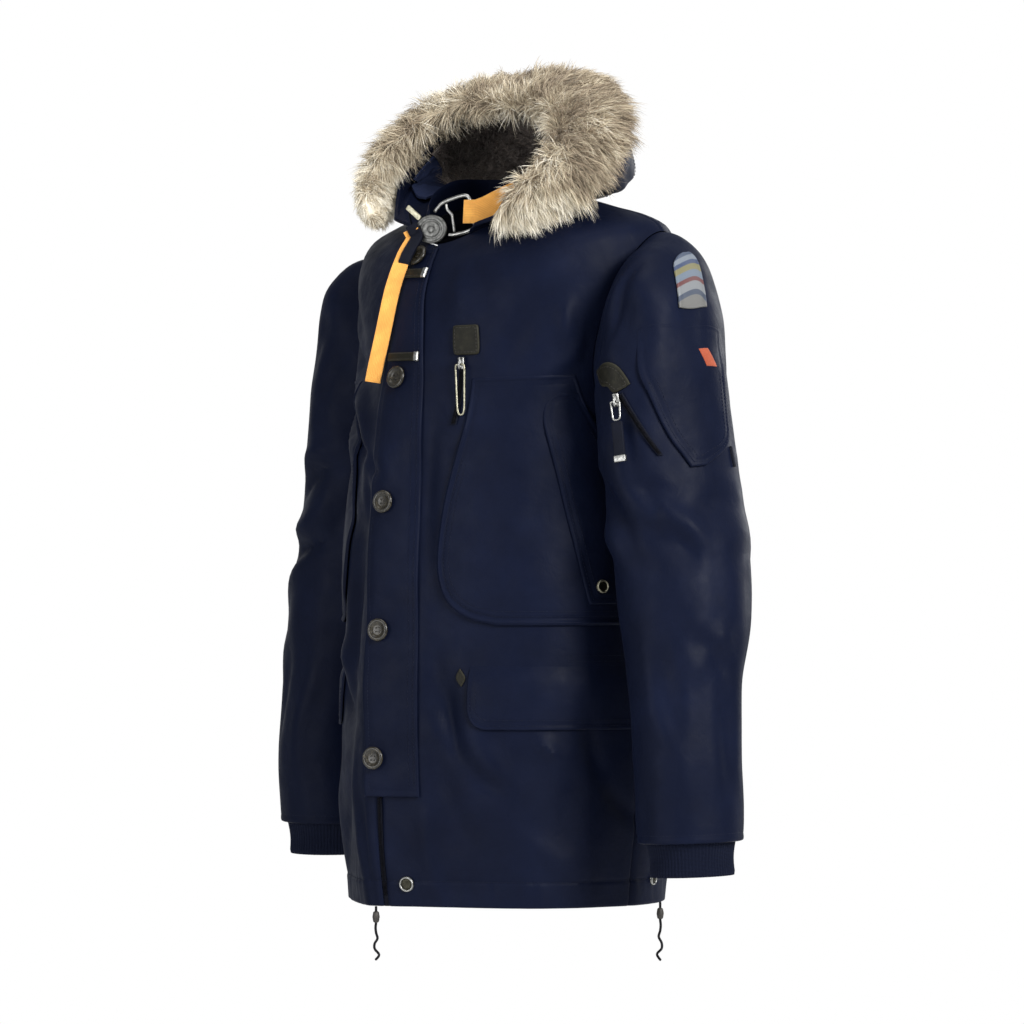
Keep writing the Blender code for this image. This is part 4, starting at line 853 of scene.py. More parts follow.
def hood_normal(share, rise):
    e = 0.01
    across = hood_point(min(share + e, 1), rise) - hood_point(max(share - e, -1), rise)
    up = hood_point(share, min(rise + e, 1)) - hood_point(share, max(rise - e, 0))
    return up.cross(across).normalized()


def hood_relief(share, rise):
    lift = creases(HOOD_CREASES, share, rise, HOOD_SHARE_METRES, HOOD_RISE_METRES)
    lift += 0.0018 * noise.noise(Vector((share * 5, rise * 3, 1.7)))
    return (lift * cloth().crease * ease(0, 0.12, rise) * (1 - ease(0.86, 1, rise))
            * (1 - ease(0.9, 1, abs(share))))


def on_hood(share, rise, out=0.0):
    return hood_point(share, rise) + hood_normal(share, rise) * (out + hood_relief(share, rise))


# ---------------------------------------------------------------- materials
ONE_BAND = 0.314  # the scale at which a wave texture has one band for each unit
TWILL_TURN = math.radians(58)


def plug(tree, made, inputs):
    """Sets a node's inputs to a value each, or links them to (node, output)."""
    for key, value in inputs.items():
        if isinstance(value, tuple) and isinstance(value[0], bpy.types.Node):
            tree.links.new(value[0].outputs[value[1]], made.inputs[key])
        else:
            made.inputs[key].default_value = value


def linked(tree, kind, inputs=None, **settings):
    """A node with these settings and inputs."""
    made = tree.nodes.new(kind)
    for name, value in settings.items():
        setattr(made, name, value)
    plug(tree, made, inputs or {})
    return made


def finish(name, make):
    """The material of this name, made by make(tree, shader) when it is first asked for."""
    if name in bpy.data.materials:
        return bpy.data.materials[name]
    made = bpy.data.materials.new(name)
    made.use_nodes = True
    make(made.node_tree, made.node_tree.nodes["Principled BSDF"])
    return made


def ramp(tree, factor, stops, interpolation="LINEAR"):
    """The colour at this factor over (position, colour or (grey,)) stops."""
    made = linked(tree, "ShaderNodeValToRGB", {"Fac": factor})
    made.color_ramp.interpolation = interpolation
    elements = made.color_ramp.elements
    while len(elements) < len(stops):
        elements.new(0.5)
    for element, (position, colour) in zip(elements, stops):
        element.position = position
        element.color = (*colour, 1) if len(colour) == 3 else (colour[0],) * 3 + (1,)
    return made, "Color"


def tones(colour, *stops):
    """Ramp stops of the colour made darker or lighter, from (position, share) pairs."""
    return [(position, shade(colour, share)) for position, share in stops]


def shade(colour, share):
    """The colour made lighter or darker by this share."""
    return tuple(min(1.0, c * share) for c in colour)


def reckoned(tree, operation, first, second):
    """The result of a sum on two numbers, each a value or (node, output)."""
    return linked(tree, "ShaderNodeMath", {0: first, 1: second}, operation=operation), "Value"


def blended(tree, share, base, other, blend_type="MIX"):
    """Two colours blended by this share."""
    mix = linked(
        tree, "ShaderNodeMix", {0: share, 6: base, 7: other}, data_type="RGBA", blend_type=blend_type)
    return mix, 2


def bump(tree, shader, layers):
    """Stacks bump layers of (height, strength, distance) on the shader."""
    last = None
    for height, strength, distance in layers:
        inputs = {"Height": height, "Strength": strength, "Distance": distance}
        if last:
            inputs["Normal"] = (last, "Normal")
        last = linked(tree, "ShaderNodeBump", inputs)
    plug(tree, shader, {"Normal": (last, "Normal")})


def own_place(tree):
    return linked(tree, "ShaderNodeTexCoord"), "Object"


def object_noise(tree, scale, detail=2.0, roughness=0.5, distortion=0.0):
    return linked(tree, "ShaderNodeTexNoise", {
        "Vector": own_place(tree), "Scale": scale, "Detail": detail, "Roughness": roughness,
        "Distortion": distortion}), "Fac"


def bands_across(tree, pitch, direction, distortion, detail=2.0, turn=0.0, scale=ONE_BAND):
    """Bands on the cloth, one each pitch metres of its cut."""
    own = linked(tree, "ShaderNodeUVMap", uv_map="cloth")
    place = linked(tree, "ShaderNodeMapping", {
        "Vector": (own, "UV"), "Scale": (1 / pitch, 1 / pitch, 1 / pitch), "Rotation": (0, 0, turn)})
    return linked(tree, "ShaderNodeTexWave", {
        "Vector": (place, "Vector"), "Scale": scale, "Distortion": distortion, "Detail": detail},
        wave_type="BANDS", bands_direction=direction), "Fac"


def shell_finish(colour, roughness, sheen):
    """Tightly woven twill: fine diagonal ribs, a faint mottle and soft small wrinkles."""
    def make(tree, shader):
        twill = bands_across(tree, cloth().twill_pitch, "X", 0.6, 1.0, TWILL_TURN)
        mottle = ramp(
            tree, object_noise(tree, 14.0, 4.0, 0.6), tones(colour, (0.30, 0.80), (0.55, 1), (0.75, 1.22)))
        yarn = ramp(tree, twill, ((0.0, (0.86,)), (1.0, (1.0,))))
        rough = ramp(tree, object_noise(tree, 45.0, 3.0), (
            (0.35, (roughness - 0.06,)), (0.65, (roughness + 0.07,))))
        plug(tree, shader, {
            "Base Color": blended(tree, 1.0, mottle, yarn, "MULTIPLY"), "Roughness": rough,
            "Specular IOR Level": 0.055, "Sheen Weight": sheen, "Sheen Roughness": 0.45,
            "Sheen Tint": (0.55, 0.65, 1.0, 1)})
        bump(tree, shader, (
            (object_noise(tree, 38.0, 3.0, 0.55, 0.6), 0.35, 0.0022),
            (object_noise(tree, 130.0, 2.0, 0.5), 0.22, 0.0006),
            (twill, 0.30, 0.00012)))
    return make


def shell():
    return finish("navy_twill", shell_finish(tuple(cloth().navy), 0.50, 0.006))


def lining():
    return finish("navy_lining", shell_finish(tuple(cloth().lining_navy), 0.45, 0.010))


def rib_knit():
    def make(tree, shader):
        courses = bands_across(tree, 0.0014, "Y", 1.5, 1.0)
        plug(tree, shader, {
            "Base Color": ramp(
                tree, courses, tones(shade(tuple(cloth().navy), 0.80), (0.2, 0.6), (0.8, 1.3))),
            "Roughness": 0.9, "Specular IOR Level": 0.1, "Sheen Weight": 0.03,
            "Sheen Tint": (0.6, 0.7, 1.0, 1)})
        bump(tree, shader, ((courses, 0.6, 0.0004), (object_noise(tree, 900.0, 2.0), 0.5, 0.0003)))
    return finish("rib_knit", make)


def spun(name, colours, roughness, gloss):
    """Thread whose tone varies a little from one colour to the other."""
    def make(tree, shader):
        plug(tree, shader, {
            "Base Color": ramp(tree, object_noise(tree, 300.0), ((0.3, colours[0]), (0.7, colours[1]))),
            "Roughness": roughness, "Specular IOR Level": gloss})
        bump(tree, shader, ((object_noise(tree, 2500.0), 0.4, 0.0001),))
    return finish(name, make)


def thread():
    colour = tuple(cloth().thread)
    return spun("topstitch_thread", (shade(colour, 0.75), shade(colour, 1.3)), 0.45, 0.12)


def dark_thread():
    return spun("trim_thread", ((0.010, 0.009, 0.008), (0.035, 0.030, 0.024)), 0.6, 0.5)


DARKER_FUR_WAY = (0.62, 0.74, 0.50)  # the fur is darkest behind and above on the wearer's left


def hair_finish(stops, patch_scale, roughness, paling=0.0):
    """Hair whose map runs from hair to hair across and from root to tip up. Low hair is paler by paling."""
    def make(tree, shader):
        own = linked(tree, "ShaderNodeUVMap", uv_map="OFBake")
        parts = linked(tree, "ShaderNodeSeparateXYZ", {"Vector": (own, "UV")})
        # hair by hair, patch by patch and root to tip, in one number
        chance = reckoned(tree, "MULTIPLY", (parts, "X"), 0.24)
        zone = reckoned(tree, "MULTIPLY", object_noise(tree, patch_scale, 3.0, 0.6), 1.15)
        tip = reckoned(tree, "MULTIPLY", (parts, "Y"), -0.17)
        place = reckoned(tree, "ADD", reckoned(tree, "ADD", chance, zone), tip)
        if paling:
            spot = linked(tree, "ShaderNodeSeparateXYZ", {"Vector": own_place(tree)})
            low = linked(tree, "ShaderNodeMapRange", {
                "Value": (spot, "Z"), "From Min": -0.03, "From Max": 0.11, "To Min": -paling, "To Max": 0.0})
            # hair further behind and above on the wearer's left is darker
            away = linked(
                tree, "ShaderNodeVectorMath", {0: own_place(tree), 1: DARKER_FUR_WAY}, operation="DOT_PRODUCT")
            darkened_side = linked(tree, "ShaderNodeMapRange", {
                "Value": (away, "Value"), "From Min": 0.05, "From Max": 0.14, "To Min": 0.0, "To Max": 0.19})
            for zoned in (low, darkened_side):
                place = reckoned(tree, "ADD", place, (zoned, "Result"))
        plug(tree, shader, {
            "Base Color": ramp(tree, place, stops), "Roughness": roughness, "Specular IOR Level": 0.25,
            "Sheen Weight": 0.15})
    return make


def ruff_hair():
    cream, tan, umber = (tuple(getattr(fur(), name)) for name in ("cream", "tan", "umber"))
    stops = ((0.10, cream), (0.40, cream), (0.58, tan), (0.74, shade(umber, 1.9)), (0.94, umber))
    return finish("ruff_hair", hair_finish(stops, 13.0, 0.55, 0.11))


def pile_hair():
    stops = tones(tuple(fur().pile), (0.15, 2.1), (0.45, 1), (0.85, 0.45))
    return finish("plush_pile", hair_finish(stops, 30.0, 0.7))


def leather():
    """Waxed leather, rubbed paler along its rims."""
    colour = tuple(trim().leather)

    def make(tree, shader):
        grain = linked(
            tree, "ShaderNodeTexVoronoi", {"Vector": own_place(tree), "Scale": 900.0}, feature="F1")
        base = ramp(
            tree, object_noise(tree, 120.0, 4.0, 0.65), tones(colour, (0.30, 0.55), (0.52, 1), (0.74, 1.9)))
        rim = linked(tree, "ShaderNodeAttribute", attribute_name="rim")
        rubbed = ramp(tree, (rim, "Fac"), ((0.0, (1.0,)), (0.20, (0.0,))))
        plug(tree, shader, {
            "Base Color": blended(tree, rubbed, base, (*shade(colour, 2.6), 1)), "Roughness": 0.50,
            "Specular IOR Level": 0.14})
        bump(tree, shader, (
            ((grain, "Distance"), 0.45, 0.0003), (object_noise(tree, 260.0, 3.0), 0.3, 0.0006)))
    return finish("waxed_leather", make)


def horn():
    colour = tuple(trim().horn)

    def make(tree, shader):
        streak = object_noise(tree, 150.0, 3.0, 0.5, 2.4)
        plug(tree, shader, {
            "Base Color": ramp(
                tree, streak, tones(colour, (0.34, 0.40), (0.50, 1), (0.62, 2.0), (0.76, 3.4))),
            "Roughness": ramp(tree, object_noise(tree, 700.0), ((0.3, (0.22,)), (0.7, (0.40,))))})
        bump(tree, shader, ((streak, 0.15, 0.0003),))
    return finish("buffalo_horn", make)


def metal(name, colour, roughness, patina):
    """Worn metal: patina darkens it in spots, and fine scratches break its gloss."""
    def make(tree, shader):
        spots = tones(colour, (0.28, patina), (0.46, 0.5 + patina / 2), (0.60, 1))
        plug(tree, shader, {
            "Base Color": ramp(tree, object_noise(tree, 260.0, 5.0, 0.65), spots), "Metallic": 1.0,
            "Roughness": ramp(tree, object_noise(tree, 420.0, 4.0), (
                (0.30, (roughness + 0.18,)), (0.65, (roughness - 0.04,))))})
        bump(tree, shader, ((object_noise(tree, 900.0, 4.0, 0.7), 0.12, 0.0002),))
    return finish(name, make)


def silver():
    return metal("brushed_silver", tuple(trim().silver), 0.30, 0.36)


def old_brass():
    return metal("aged_brass", tuple(trim().brass), 0.36, 0.35)


def dark_bronze():
    return metal("dark_bronze", shade(tuple(trim().brass), 0.13), 0.42, 0.5)


def pewter():
    return metal("pewter", shade(tuple(trim().silver), 0.42), 0.36, 0.30)


def gunmetal():
    return metal("dark_metal", (0.009, 0.009, 0.011), 0.50, 0.45)


def band_weave(name, colour, pitch, pale=1.25, sheen=0.15):
    """A woven tape: ribs along and across it."""
    def make(tree, shader):
        ribs = reckoned(tree, "MULTIPLY", bands_across(tree, pitch, "X", 0.4),
                        bands_across(tree, pitch, "Y", 0.6, scale=0.40))
        tone = ramp(tree, object_noise(tree, 60.0, 3.0), tones(colour, (0.30, 0.86), (0.55, 1), (0.75, pale)))
        gaps = ramp(tree, ribs, ((0.0, (0.72,)), (0.45, (1.0,))))
        plug(tree, shader, {
            "Base Color": blended(tree, 1.0, tone, gaps, "MULTIPLY"), "Roughness": 0.70,
            "Specular IOR Level": 0.15, "Sheen Weight": sheen})
        bump(tree, shader, ((ribs, 0.7, 0.0003), (object_noise(tree, 400.0), 0.3, 0.0003)))
    return finish(name, make)


def webbing():
    return band_weave("strap_webbing", tuple(trim().webbing), 0.0012)


def tape():
    return band_weave("zip_tape", shade(tuple(cloth().navy), 0.60), 0.0010, sheen=0.004)


def tag_weave():
    return band_weave("tag_weave", tuple(trim().tag), 0.0008, 1.15)


def braid():
    return band_weave("cord_braid", tuple(trim().cord), 0.0011, 1.6, 0.01)


BADGE_TOP = (0.0895, 0.0925, 0)  # the middle of the badge's upper edge, in its cut
BADGE_ARCH = 55.0  # how fast its bands fall away to the sides
BADGE_RAMPS_A_METRE = 9.0


def badge_weave():
    """A woven patch in bands that arch across it."""
    def make(tree, shader):
        own = linked(tree, "ShaderNodeUVMap", uv_map="cloth")
        place = linked(tree, "ShaderNodeMapping", {
            "Vector": (own, "UV"), "Location": tuple(-part for part in BADGE_TOP)})
        parts = linked(tree, "ShaderNodeSeparateXYZ", {"Vector": (place, "Vector")})
        arch = reckoned(tree, "MULTIPLY", reckoned(tree, "MULTIPLY", (parts, "X"), (parts, "X")), BADGE_ARCH)
        level = reckoned(tree, "SUBTRACT", (parts, "Y"), arch)
        bands = ramp(tree, reckoned(tree, "MULTIPLY", level, BADGE_RAMPS_A_METRE), BADGE_BANDS, "CONSTANT")
        satin = bands_across(tree, 0.0007, "X", 1.0)
        yarn = ramp(tree, satin, ((0.0, (0.70,)), (0.8, (1.0,))))
        plug(tree, shader, {"Base Color": blended(tree, 1.0, bands, yarn, "MULTIPLY"), "Roughness": 0.55})
        bump(tree, shader, ((satin, 0.6, 0.0003), (object_noise(tree, 500.0), 0.3, 0.0003)))
    return finish("badge_weave", make)


# ---------------------------------------------------------------- making pieces
def placed(name, data):
    """An object of this mesh, in the scene."""
    made = bpy.data.objects.new(name, data)
    bpy.context.scene.collection.objects.link(made)
    return made


def mesh_of(name, shape):
    """The bmesh as a mesh. The bmesh is freed."""
    data = bpy.data.meshes.new(name)
    shape.to_mesh(data)
    shape.free()
    return data


def mesh_from(name, points, corners, sizes):
    """A mesh of these points, whose faces take their corners in turn, sizes[i] of them for face i."""
    data = bpy.data.meshes.new(name)
    data.vertices.add(len(points))
    data.vertices.foreach_set("co", points.ravel().astype(np.float32))
    data.loops.add(len(corners))
    data.loops.foreach_set("vertex_index", corners.astype(np.int32))
    data.polygons.add(len(sizes))
    starts = np.concatenate(([0], np.cumsum(sizes)[:-1]))
    data.polygons.foreach_set("loop_start", starts.astype(np.int32))
    data.update(calc_edges=True)
    return data


def piece(name, shape, material, slot, stands_for=(), body="coat", sharp=40):
    """Turns a bmesh into a smooth-shaded piece that rides on a body and stands for its solids."""
    return finished(name, mesh_of(name, shape), material, slot, stands_for, body, sharp)


def finished(name, data, material, slot, stands_for=(), body="coat", sharp=40):
    made = placed(name, data)
    data.materials.append(material)
    data.shade_smooth()
    if sharp:
        data.set_sharp_from_angle(angle=math.radians(sharp))
    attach(made, body)
    if stands_for:
        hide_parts(*stands_for)
    return made


def mapped(shape, spot, name="cloth"):
    """Gives the shape a map: spot(place) is where a corner at this place lies on it."""
    own = shape.loops.layers.uv.new(name)
    for face in shape.faces:
        for corner in face.loops:
            corner[own].uv = spot(corner.vert.co)
    return shape


def wall(across, along, place, metres, joined=False, rim=None):
    """A curved slab: place(u, v, w) gives its points, w 0 outside and 1 inside, and metres(u, v) its
    place in the cut cloth. joined closes it round u. rim(u, v) is how far in from its edge it is."""
    shape = bmesh.new()
    bmesh.ops.create_grid(shape, x_segments=across, y_segments=along, size=0.5)
    mapped(shape, lambda co: metres(co.x + 0.5, co.y + 0.5))
    made = bmesh.ops.extrude_face_region(shape, geom=shape.faces[:], use_keep_orig=True)
    for corner in made["geom"]:
        if isinstance(corner, bmesh.types.BMVert):
            corner.co.z = 1
    if joined:
        ends = [f for f in shape.faces if len({round(c.co.x, 5) for c in f.verts}) == 1
                and abs(f.calc_center_median().x) > 0.4999]
        bmesh.ops.delete(shape, geom=ends, context="FACES")
    edge = shape.verts.layers.float.new("rim")
    for corner in shape.verts:
        u, v, w = corner.co.x + 0.5, corner.co.y + 0.5, corner.co.z
        corner[edge] = 1.0 if rim is None else rim(u, v) * 100
        corner.co = place(u, v, w)
    if joined:
        bmesh.ops.remove_doubles(shape, verts=shape.verts, dist=1e-6)
    return outward(shape)


def outward(shape):
    """Turns a closed shape's faces to look out."""
    bmesh.ops.recalc_face_normals(shape, faces=shape.faces)
    if shape.calc_volume(signed=True) < 0:
        bmesh.ops.reverse_faces(shape, faces=shape.faces)
    return shape


def carved(made, cutters, sharp):
    """Cuts the cutters out of a piece, and applies the cut."""
    for cutter in cutters:
        boolean = made.modifiers.new("cut", "BOOLEAN")
        boolean.operation, boolean.object = "DIFFERENCE", cutter
    bpy.context.view_layer.update()
    graph = bpy.context.evaluated_depsgraph_get()
    data = bpy.data.meshes.new_from_object(made.evaluated_get(graph))
    made.modifiers.clear()
    made.data = data
    data.set_sharp_from_angle(angle=math.radians(sharp))


def crowded(share):
    """Shares 0 to 1 crowded towards both ends, for rounded edges."""
    return 0.5 - 0.5 * math.cos(math.pi * share)


def lengths_along(line):
    """How far along a line each of its points is."""
    return list(itertools.accumulate(((b - a).length for a, b in zip(line, line[1:])), initial=0.0))


def smooth_line(points, count, ring=False):
    """count points on a smooth curve through these."""
    line = []
    n = len(points)
    for i in range(count):
        place = i / count * n if ring else i / (count - 1) * (n - 1)
        k = min(int(place), n - 1 if ring else n - 2)
        t = place - k
        if ring:
            a, b, c, d = (points[(k + j) % n] for j in (-1, 0, 1, 2))
        else:
            a, b, c, d = points[max(k - 1, 0)], points[k], points[k + 1], points[min(k + 2, n - 1)]
        line.append(0.5 * ((2 * b) + (c - a) * t + (2 * a - 5 * b + 4 * c - d) * t * t
                           + (3 * b - a - 3 * c + d) * t**3))
    return line


NOSE = ((0.0, 0.0), (0.04, 0.55), (0.20, 0.86), (0.60, 1.0))  # a bar's end: (distance, size) in radii


def sweep(line, radius, sides=16, ring=False):
    """A round bar of this radius along a line. An open one has rounded ends."""
    sizes = [1.0] * len(line)
    if not ring:
        first, last = (line[1] - line[0]).normalized(), (line[-2] - line[-1]).normalized()
        line = ([line[0] + first * radius * d for d, _ in NOSE] + line[1:-1]
                + [line[-1] + last * radius * d for d, _ in NOSE[::-1]])
        sizes = [size for _, size in NOSE] + sizes[1:-1] + [size for _, size in NOSE[::-1]]
    count = len(line)
    runs = [((line[(i + 1) % count] if ring else line[min(i + 1, count - 1)])
             - (line[i - 1] if ring else line[max(i - 1, 0)])).normalized() for i in range(count)]
    side, frames, lengths = runs[0].orthogonal(), [], lengths_along(line + line[:1])
    for run in runs:
        side = (side - run * side.dot(run)).normalized()
        frames.append((side, run.cross(side)))
    rows = count if ring else count - 1
    shape = bmesh.new()
    bmesh.ops.create_grid(shape, x_segments=sides, y_segments=rows, size=0.5)
    mapped(shape, lambda co: ((co.x + 0.5) * 2 * math.pi * radius, lengths[round((co.y + 0.5) * rows)]))
    for corner in shape.verts:
        i = round((corner.co.y + 0.5) * rows) % count
        turn = 2 * math.pi * (corner.co.x + 0.5)
        a, b = frames[i]
        corner.co = line[i] + (a * math.cos(turn) + b * math.sin(turn)) * radius * sizes[i]
    bmesh.ops.remove_doubles(shape, verts=shape.verts, dist=1e-6)
    return outward(shape)


def turned(profile, place, steps=48):
    """A turned piece about local Z; profile is (radius, height) from the top down its outer side."""
    shape = bmesh.new()
    corners = [shape.verts.new((r, 0, h)) for r, h in profile]
    edges = [shape.edges.new(pair) for pair in zip(corners, corners[1:])]
    bmesh.ops.spin(shape, geom=corners + edges, cent=(0, 0, 0), axis=(0, 0, 1), angle=2 * math.pi,
                   steps=steps, use_merge=True, use_duplicate=False)
    bmesh.ops.remove_doubles(shape, verts=shape.verts, dist=1e-6)
    outward(shape)
    bmesh.ops.transform(shape, matrix=place, verts=shape.verts)
    return shape


def rounded_profile(profile, cut=0.0004):
    """The profile with its corners cut, so that its edges catch light."""
    made = [profile[0]]
    for before, here, after in zip(profile, profile[1:], profile[2:]):
        for other in (before, after):
            away = math.dist(here, other)
            share = min(0.4, cut / away) if away else 0
            made.append((here[0] + (other[0] - here[0]) * share, here[1] + (other[1] - here[1]) * share))
    return made + [profile[-1]]


def solid_plate(outline, low, high, place, bevel):
    """A flat piece of this outline with rounded edges, standing on the local XY plane."""
    shape = bmesh.new()
    face = shape.faces.new([shape.verts.new((x, y, low)) for x, y in outline])
    made = bmesh.ops.extrude_face_region(shape, geom=[face], use_keep_orig=True)
    bmesh.ops.translate(shape, vec=(0, 0, high - low),
                        verts=[v for v in made["geom"] if isinstance(v, bmesh.types.BMVert)])
    outward(shape)
    rims = [e for e in shape.edges if e.calc_face_angle(0) > math.radians(50)]
    bmesh.ops.bevel(shape, geom=rims, offset=bevel, segments=3, affect="EDGES", profile=0.5, material=-1)
    bmesh.ops.transform(shape, matrix=place, verts=shape.verts)
    return shape


def rounded_box(half_x, half_y, radius, steps=5):
    """The outline of a rectangle with round corners."""
    outline = []
    for corner, (sx, sy) in enumerate(((1, 1), (-1, 1), (-1, -1), (1, -1))):
        for i in range(steps + 1):
            turn = math.pi / 2 * (corner + i / steps)
            outline.append((sx * (half_x - radius) + radius * math.cos(turn),
                            sy * (half_y - radius) + radius * math.sin(turn)))
    return outline


def merged(shapes):
    """Several bmeshes as one."""
    whole = bmesh.new()
    for shape in shapes:
        data = mesh_of("part", shape)
        whole.from_mesh(data)
        bpy.data.meshes.remove(data)
    return whole


def tooth(size, bevel=0):
    """A zip's tooth: a small block of this size, with its edges cut where bevel says so."""
    shape = bmesh.new()
    bmesh.ops.create_cube(shape, size=1)
    bmesh.ops.scale(shape, vec=size, verts=shape.verts)
    if bevel:
        bmesh.ops.bevel(shape, geom=shape.edges[:], offset=bevel, segments=1, affect="EDGES", profile=0.5,
                        material=-1)
    return shape


def repeated(name, shape, places, material, slot):
    """One joined mesh of a small shape at each of many places."""
    shape.verts.ensure_lookup_table()
    corners = np.array([(*v.co, 1.0) for v in shape.verts])
    loops = np.array([v.index for f in shape.faces for v in f.verts])
    sizes = np.array([len(f.verts) for f in shape.faces])
    shape.free()
    spots = np.array([[list(row) for row in place] for place in places])
    points = np.einsum("nij,vj->nvi", spots, corners)[:, :, :3].reshape(-1, 3)
    every = (loops[None, :] + len(corners) * np.arange(len(places))[:, None]).ravel()
    data = mesh_from(name, points, every, np.tile(sizes, len(places)))
    data.validate()
    return finished(name, data, material, slot, sharp=0)


# ---------------------------------------------------------------- patches of cloth and leather
def smooth_rows(rows, v):
    """Height and both edges at v, 0 to 1 over the rows, on smooth curves."""
    steps = list(range(len(rows)))
    return [through(steps, [row[i] for row in rows], v * (len(rows) - 1)) for i in range(3)]


def cut_of(rows, across, along):
    """Where a patch's grid lies in its cut: columns by rows of (x, y)."""
    grid = np.zeros((across + 1, along + 1, 2))
    for j in range(along + 1):
        y, start, end = smooth_rows(rows, crowded(j / along))
        for i in range(across + 1):
            grid[i, j] = (start + (end - start) * crowded(i / across), y)
    return grid


def outline_of(grid):
    """The grid's edge as one closed line."""
    return np.concatenate([grid[:, 0], grid[-1, 1:], grid[-2::-1, -1], grid[0, -2:0:-1]])


def rim_of(points, outline, metres=(1.0, 1.0)):
    """Distance of points from a closed line, with metres for each unit of x and of y."""
    spots = (points * metres).reshape(-1, 1, 2)
    start = outline * metres
    run = np.roll(start, -1, axis=0) - start
    square = np.maximum((run**2).sum(1), 1e-12)
    t = np.clip(((spots - start) * run).sum(2) / square, 0, 1)
    gap = spots - start - t[:, :, None] * run
    return np.sqrt((gap**2).sum(2).min(1)).reshape(points.shape[:-1])


class Patch:
    """A piece that lies on the body or the sleeve, with rounded edges, ridges along them and stitches."""

    def __init__(self, rows, out, thickness, at=on_body, metres=(1.0, 1.0), across=40, along=44, side=1,
                 round_over=0.0016, edge=0.3, ridges=(), swell=None):
        self.out, self.thickness, self.at, self.metres = out, thickness, at, metres
        self.across, self.along, self.side, self.round_over, self.edge = across, along, side, round_over, edge
        self.ridges, self.swell = ridges, swell
        self.grid = cut_of(rows, across, along)
        self.rims = rim_of(self.grid, outline_of(self.grid), metres)

    def lift(self, x, y, rim):
        """How far the outside stands above the patch's underside."""
        height = self.thickness * (self.edge + (1 - self.edge) * quarter_round(rim / self.round_over))
        for distance, width, rise in self.ridges:
            height += rise * hill(rim - distance, width)
        return height + (self.swell(x, y, rim) if self.swell else 0)

    def point(self, x, y, above=0.0, rim=None):
        """A point above the patch's outside."""
        if rim is None:
            rim = float(rim_of(np.array([[x, y]]), outline_of(self.grid), self.metres)[0])
        return self.at(x, y, self.out + self.lift(x, y, rim) + above, self.side)

    def shape(self):
        def knot(u, v):
            return round(u * self.across), round(v * self.along)

        def place(u, v, w):
            (x, y), rim = self.grid[knot(u, v)], float(self.rims[knot(u, v)])
            if w == 0:
                return self.point(x, y, rim=rim)
            base = self.swell(x, y, rim) if self.swell else 0
            base += self.thickness * (1 - self.edge) * 0.25 * (1 - min(rim / self.round_over, 1))
            return self.at(x, y, self.out + base, self.side)

        return wall(self.across, self.along, place, lambda u, v: self.grid[knot(u, v)] * self.metres,
                    rim=lambda u, v: float(self.rims[knot(u, v)]))

    def inset_line(self, inset, keep):
        """Runs of (x, y) points this far in from the edge, where keep says so."""
        outline = outline_of(self.grid) * self.metres
        run = np.roll(outline, -1, axis=0) - np.roll(outline, 1, axis=0)
        run /= np.maximum(np.linalg.norm(run, axis=1), 1e-9)[:, None]
        turning = np.sum(
            outline[:, 0] * np.roll(outline[:, 1], -1) - np.roll(outline[:, 0], -1) * outline[:, 1])
        inner = np.stack([-run[:, 1], run[:, 0]], 1) * (1 if turning > 0 else -1)
        line = (outline + inner * inset) / self.metres
        good = rim_of(line, outline / self.metres, self.metres) > inset * 0.93
        runs, current = [], []
        for point, fine in zip(line, good):
            if fine and keep(*point):
                current.append(point)
            elif not keep(*point) and current:
                runs.append(current)
                current = []
        if current:
            runs.append(current)
        if len(runs) == 1 and all(keep(*point) for point in line):
            runs[0].append(runs[0][0])
        return [r for r in runs if len(r) > 1]

    def stitches(self, inset, keep):
        """Places of the stitches of one row along the edge."""
        places = []
        for run in self.inset_line(inset, keep):
            places += stitch_places([self.point(x, y, cloth().thread_radius * 0.6) for x, y in run])
        return places


def stitch_places(line):
    """A matrix for each stitch along a line of points, with +X along the row."""
    size, gap = cloth().stitch_length, cloth().stitch_gap
    pitch, lengths = size + gap, lengths_along(line)
    places = []
    for k in range(int(lengths[-1] / pitch)):
        ends = []
        for d in (k * pitch + gap / 2, (k + 1) * pitch - gap / 2):
            i = min(max(bisect.bisect_right(lengths, d) - 1, 0), len(line) - 2)
            step = lengths[i + 1] - lengths[i]
            ends.append(line[i].lerp(line[i + 1], (d - lengths[i]) / step if step else 0))
        run = ends[1] - ends[0]
        if run.length > 1e-6:
            x = run.normalized()
            y = x.orthogonal().normalized()
            places.append(matrix_of((ends[0] + ends[1]) / 2, run, y * size, x.cross(y) * size))
    return places


STITCHES = {"shell": [], "trim": []}


def sew(places, kind="shell"):
    STITCHES[kind] += places


def stitch_shape():
    """One stitch, one unit long, thick in the middle."""
    shape = bmesh.new()
    bmesh.ops.create_uvsphere(shape, u_segments=4, v_segments=4, radius=0.5)
    thick = 2 * cloth().thread_radius / cloth().stitch_length
    for corner in shape.verts:
        x, y, z = corner.co.z, corner.co.x, corner.co.y
        corner.co = (x, y * thick, z * thick)
    return outward(shape)


# ---------------------------------------------------------------- stage and cords
SENSOR_WIDTH = 36  # of the camera, in its own millimetres
CAMERA_SHIFT = 1 / 512  # of the view's width
UNSEEN_BY = (
    "visible_diffuse", "visible_glossy", "visible_transmission", "visible_volume_scatter", "visible_shadow",
)


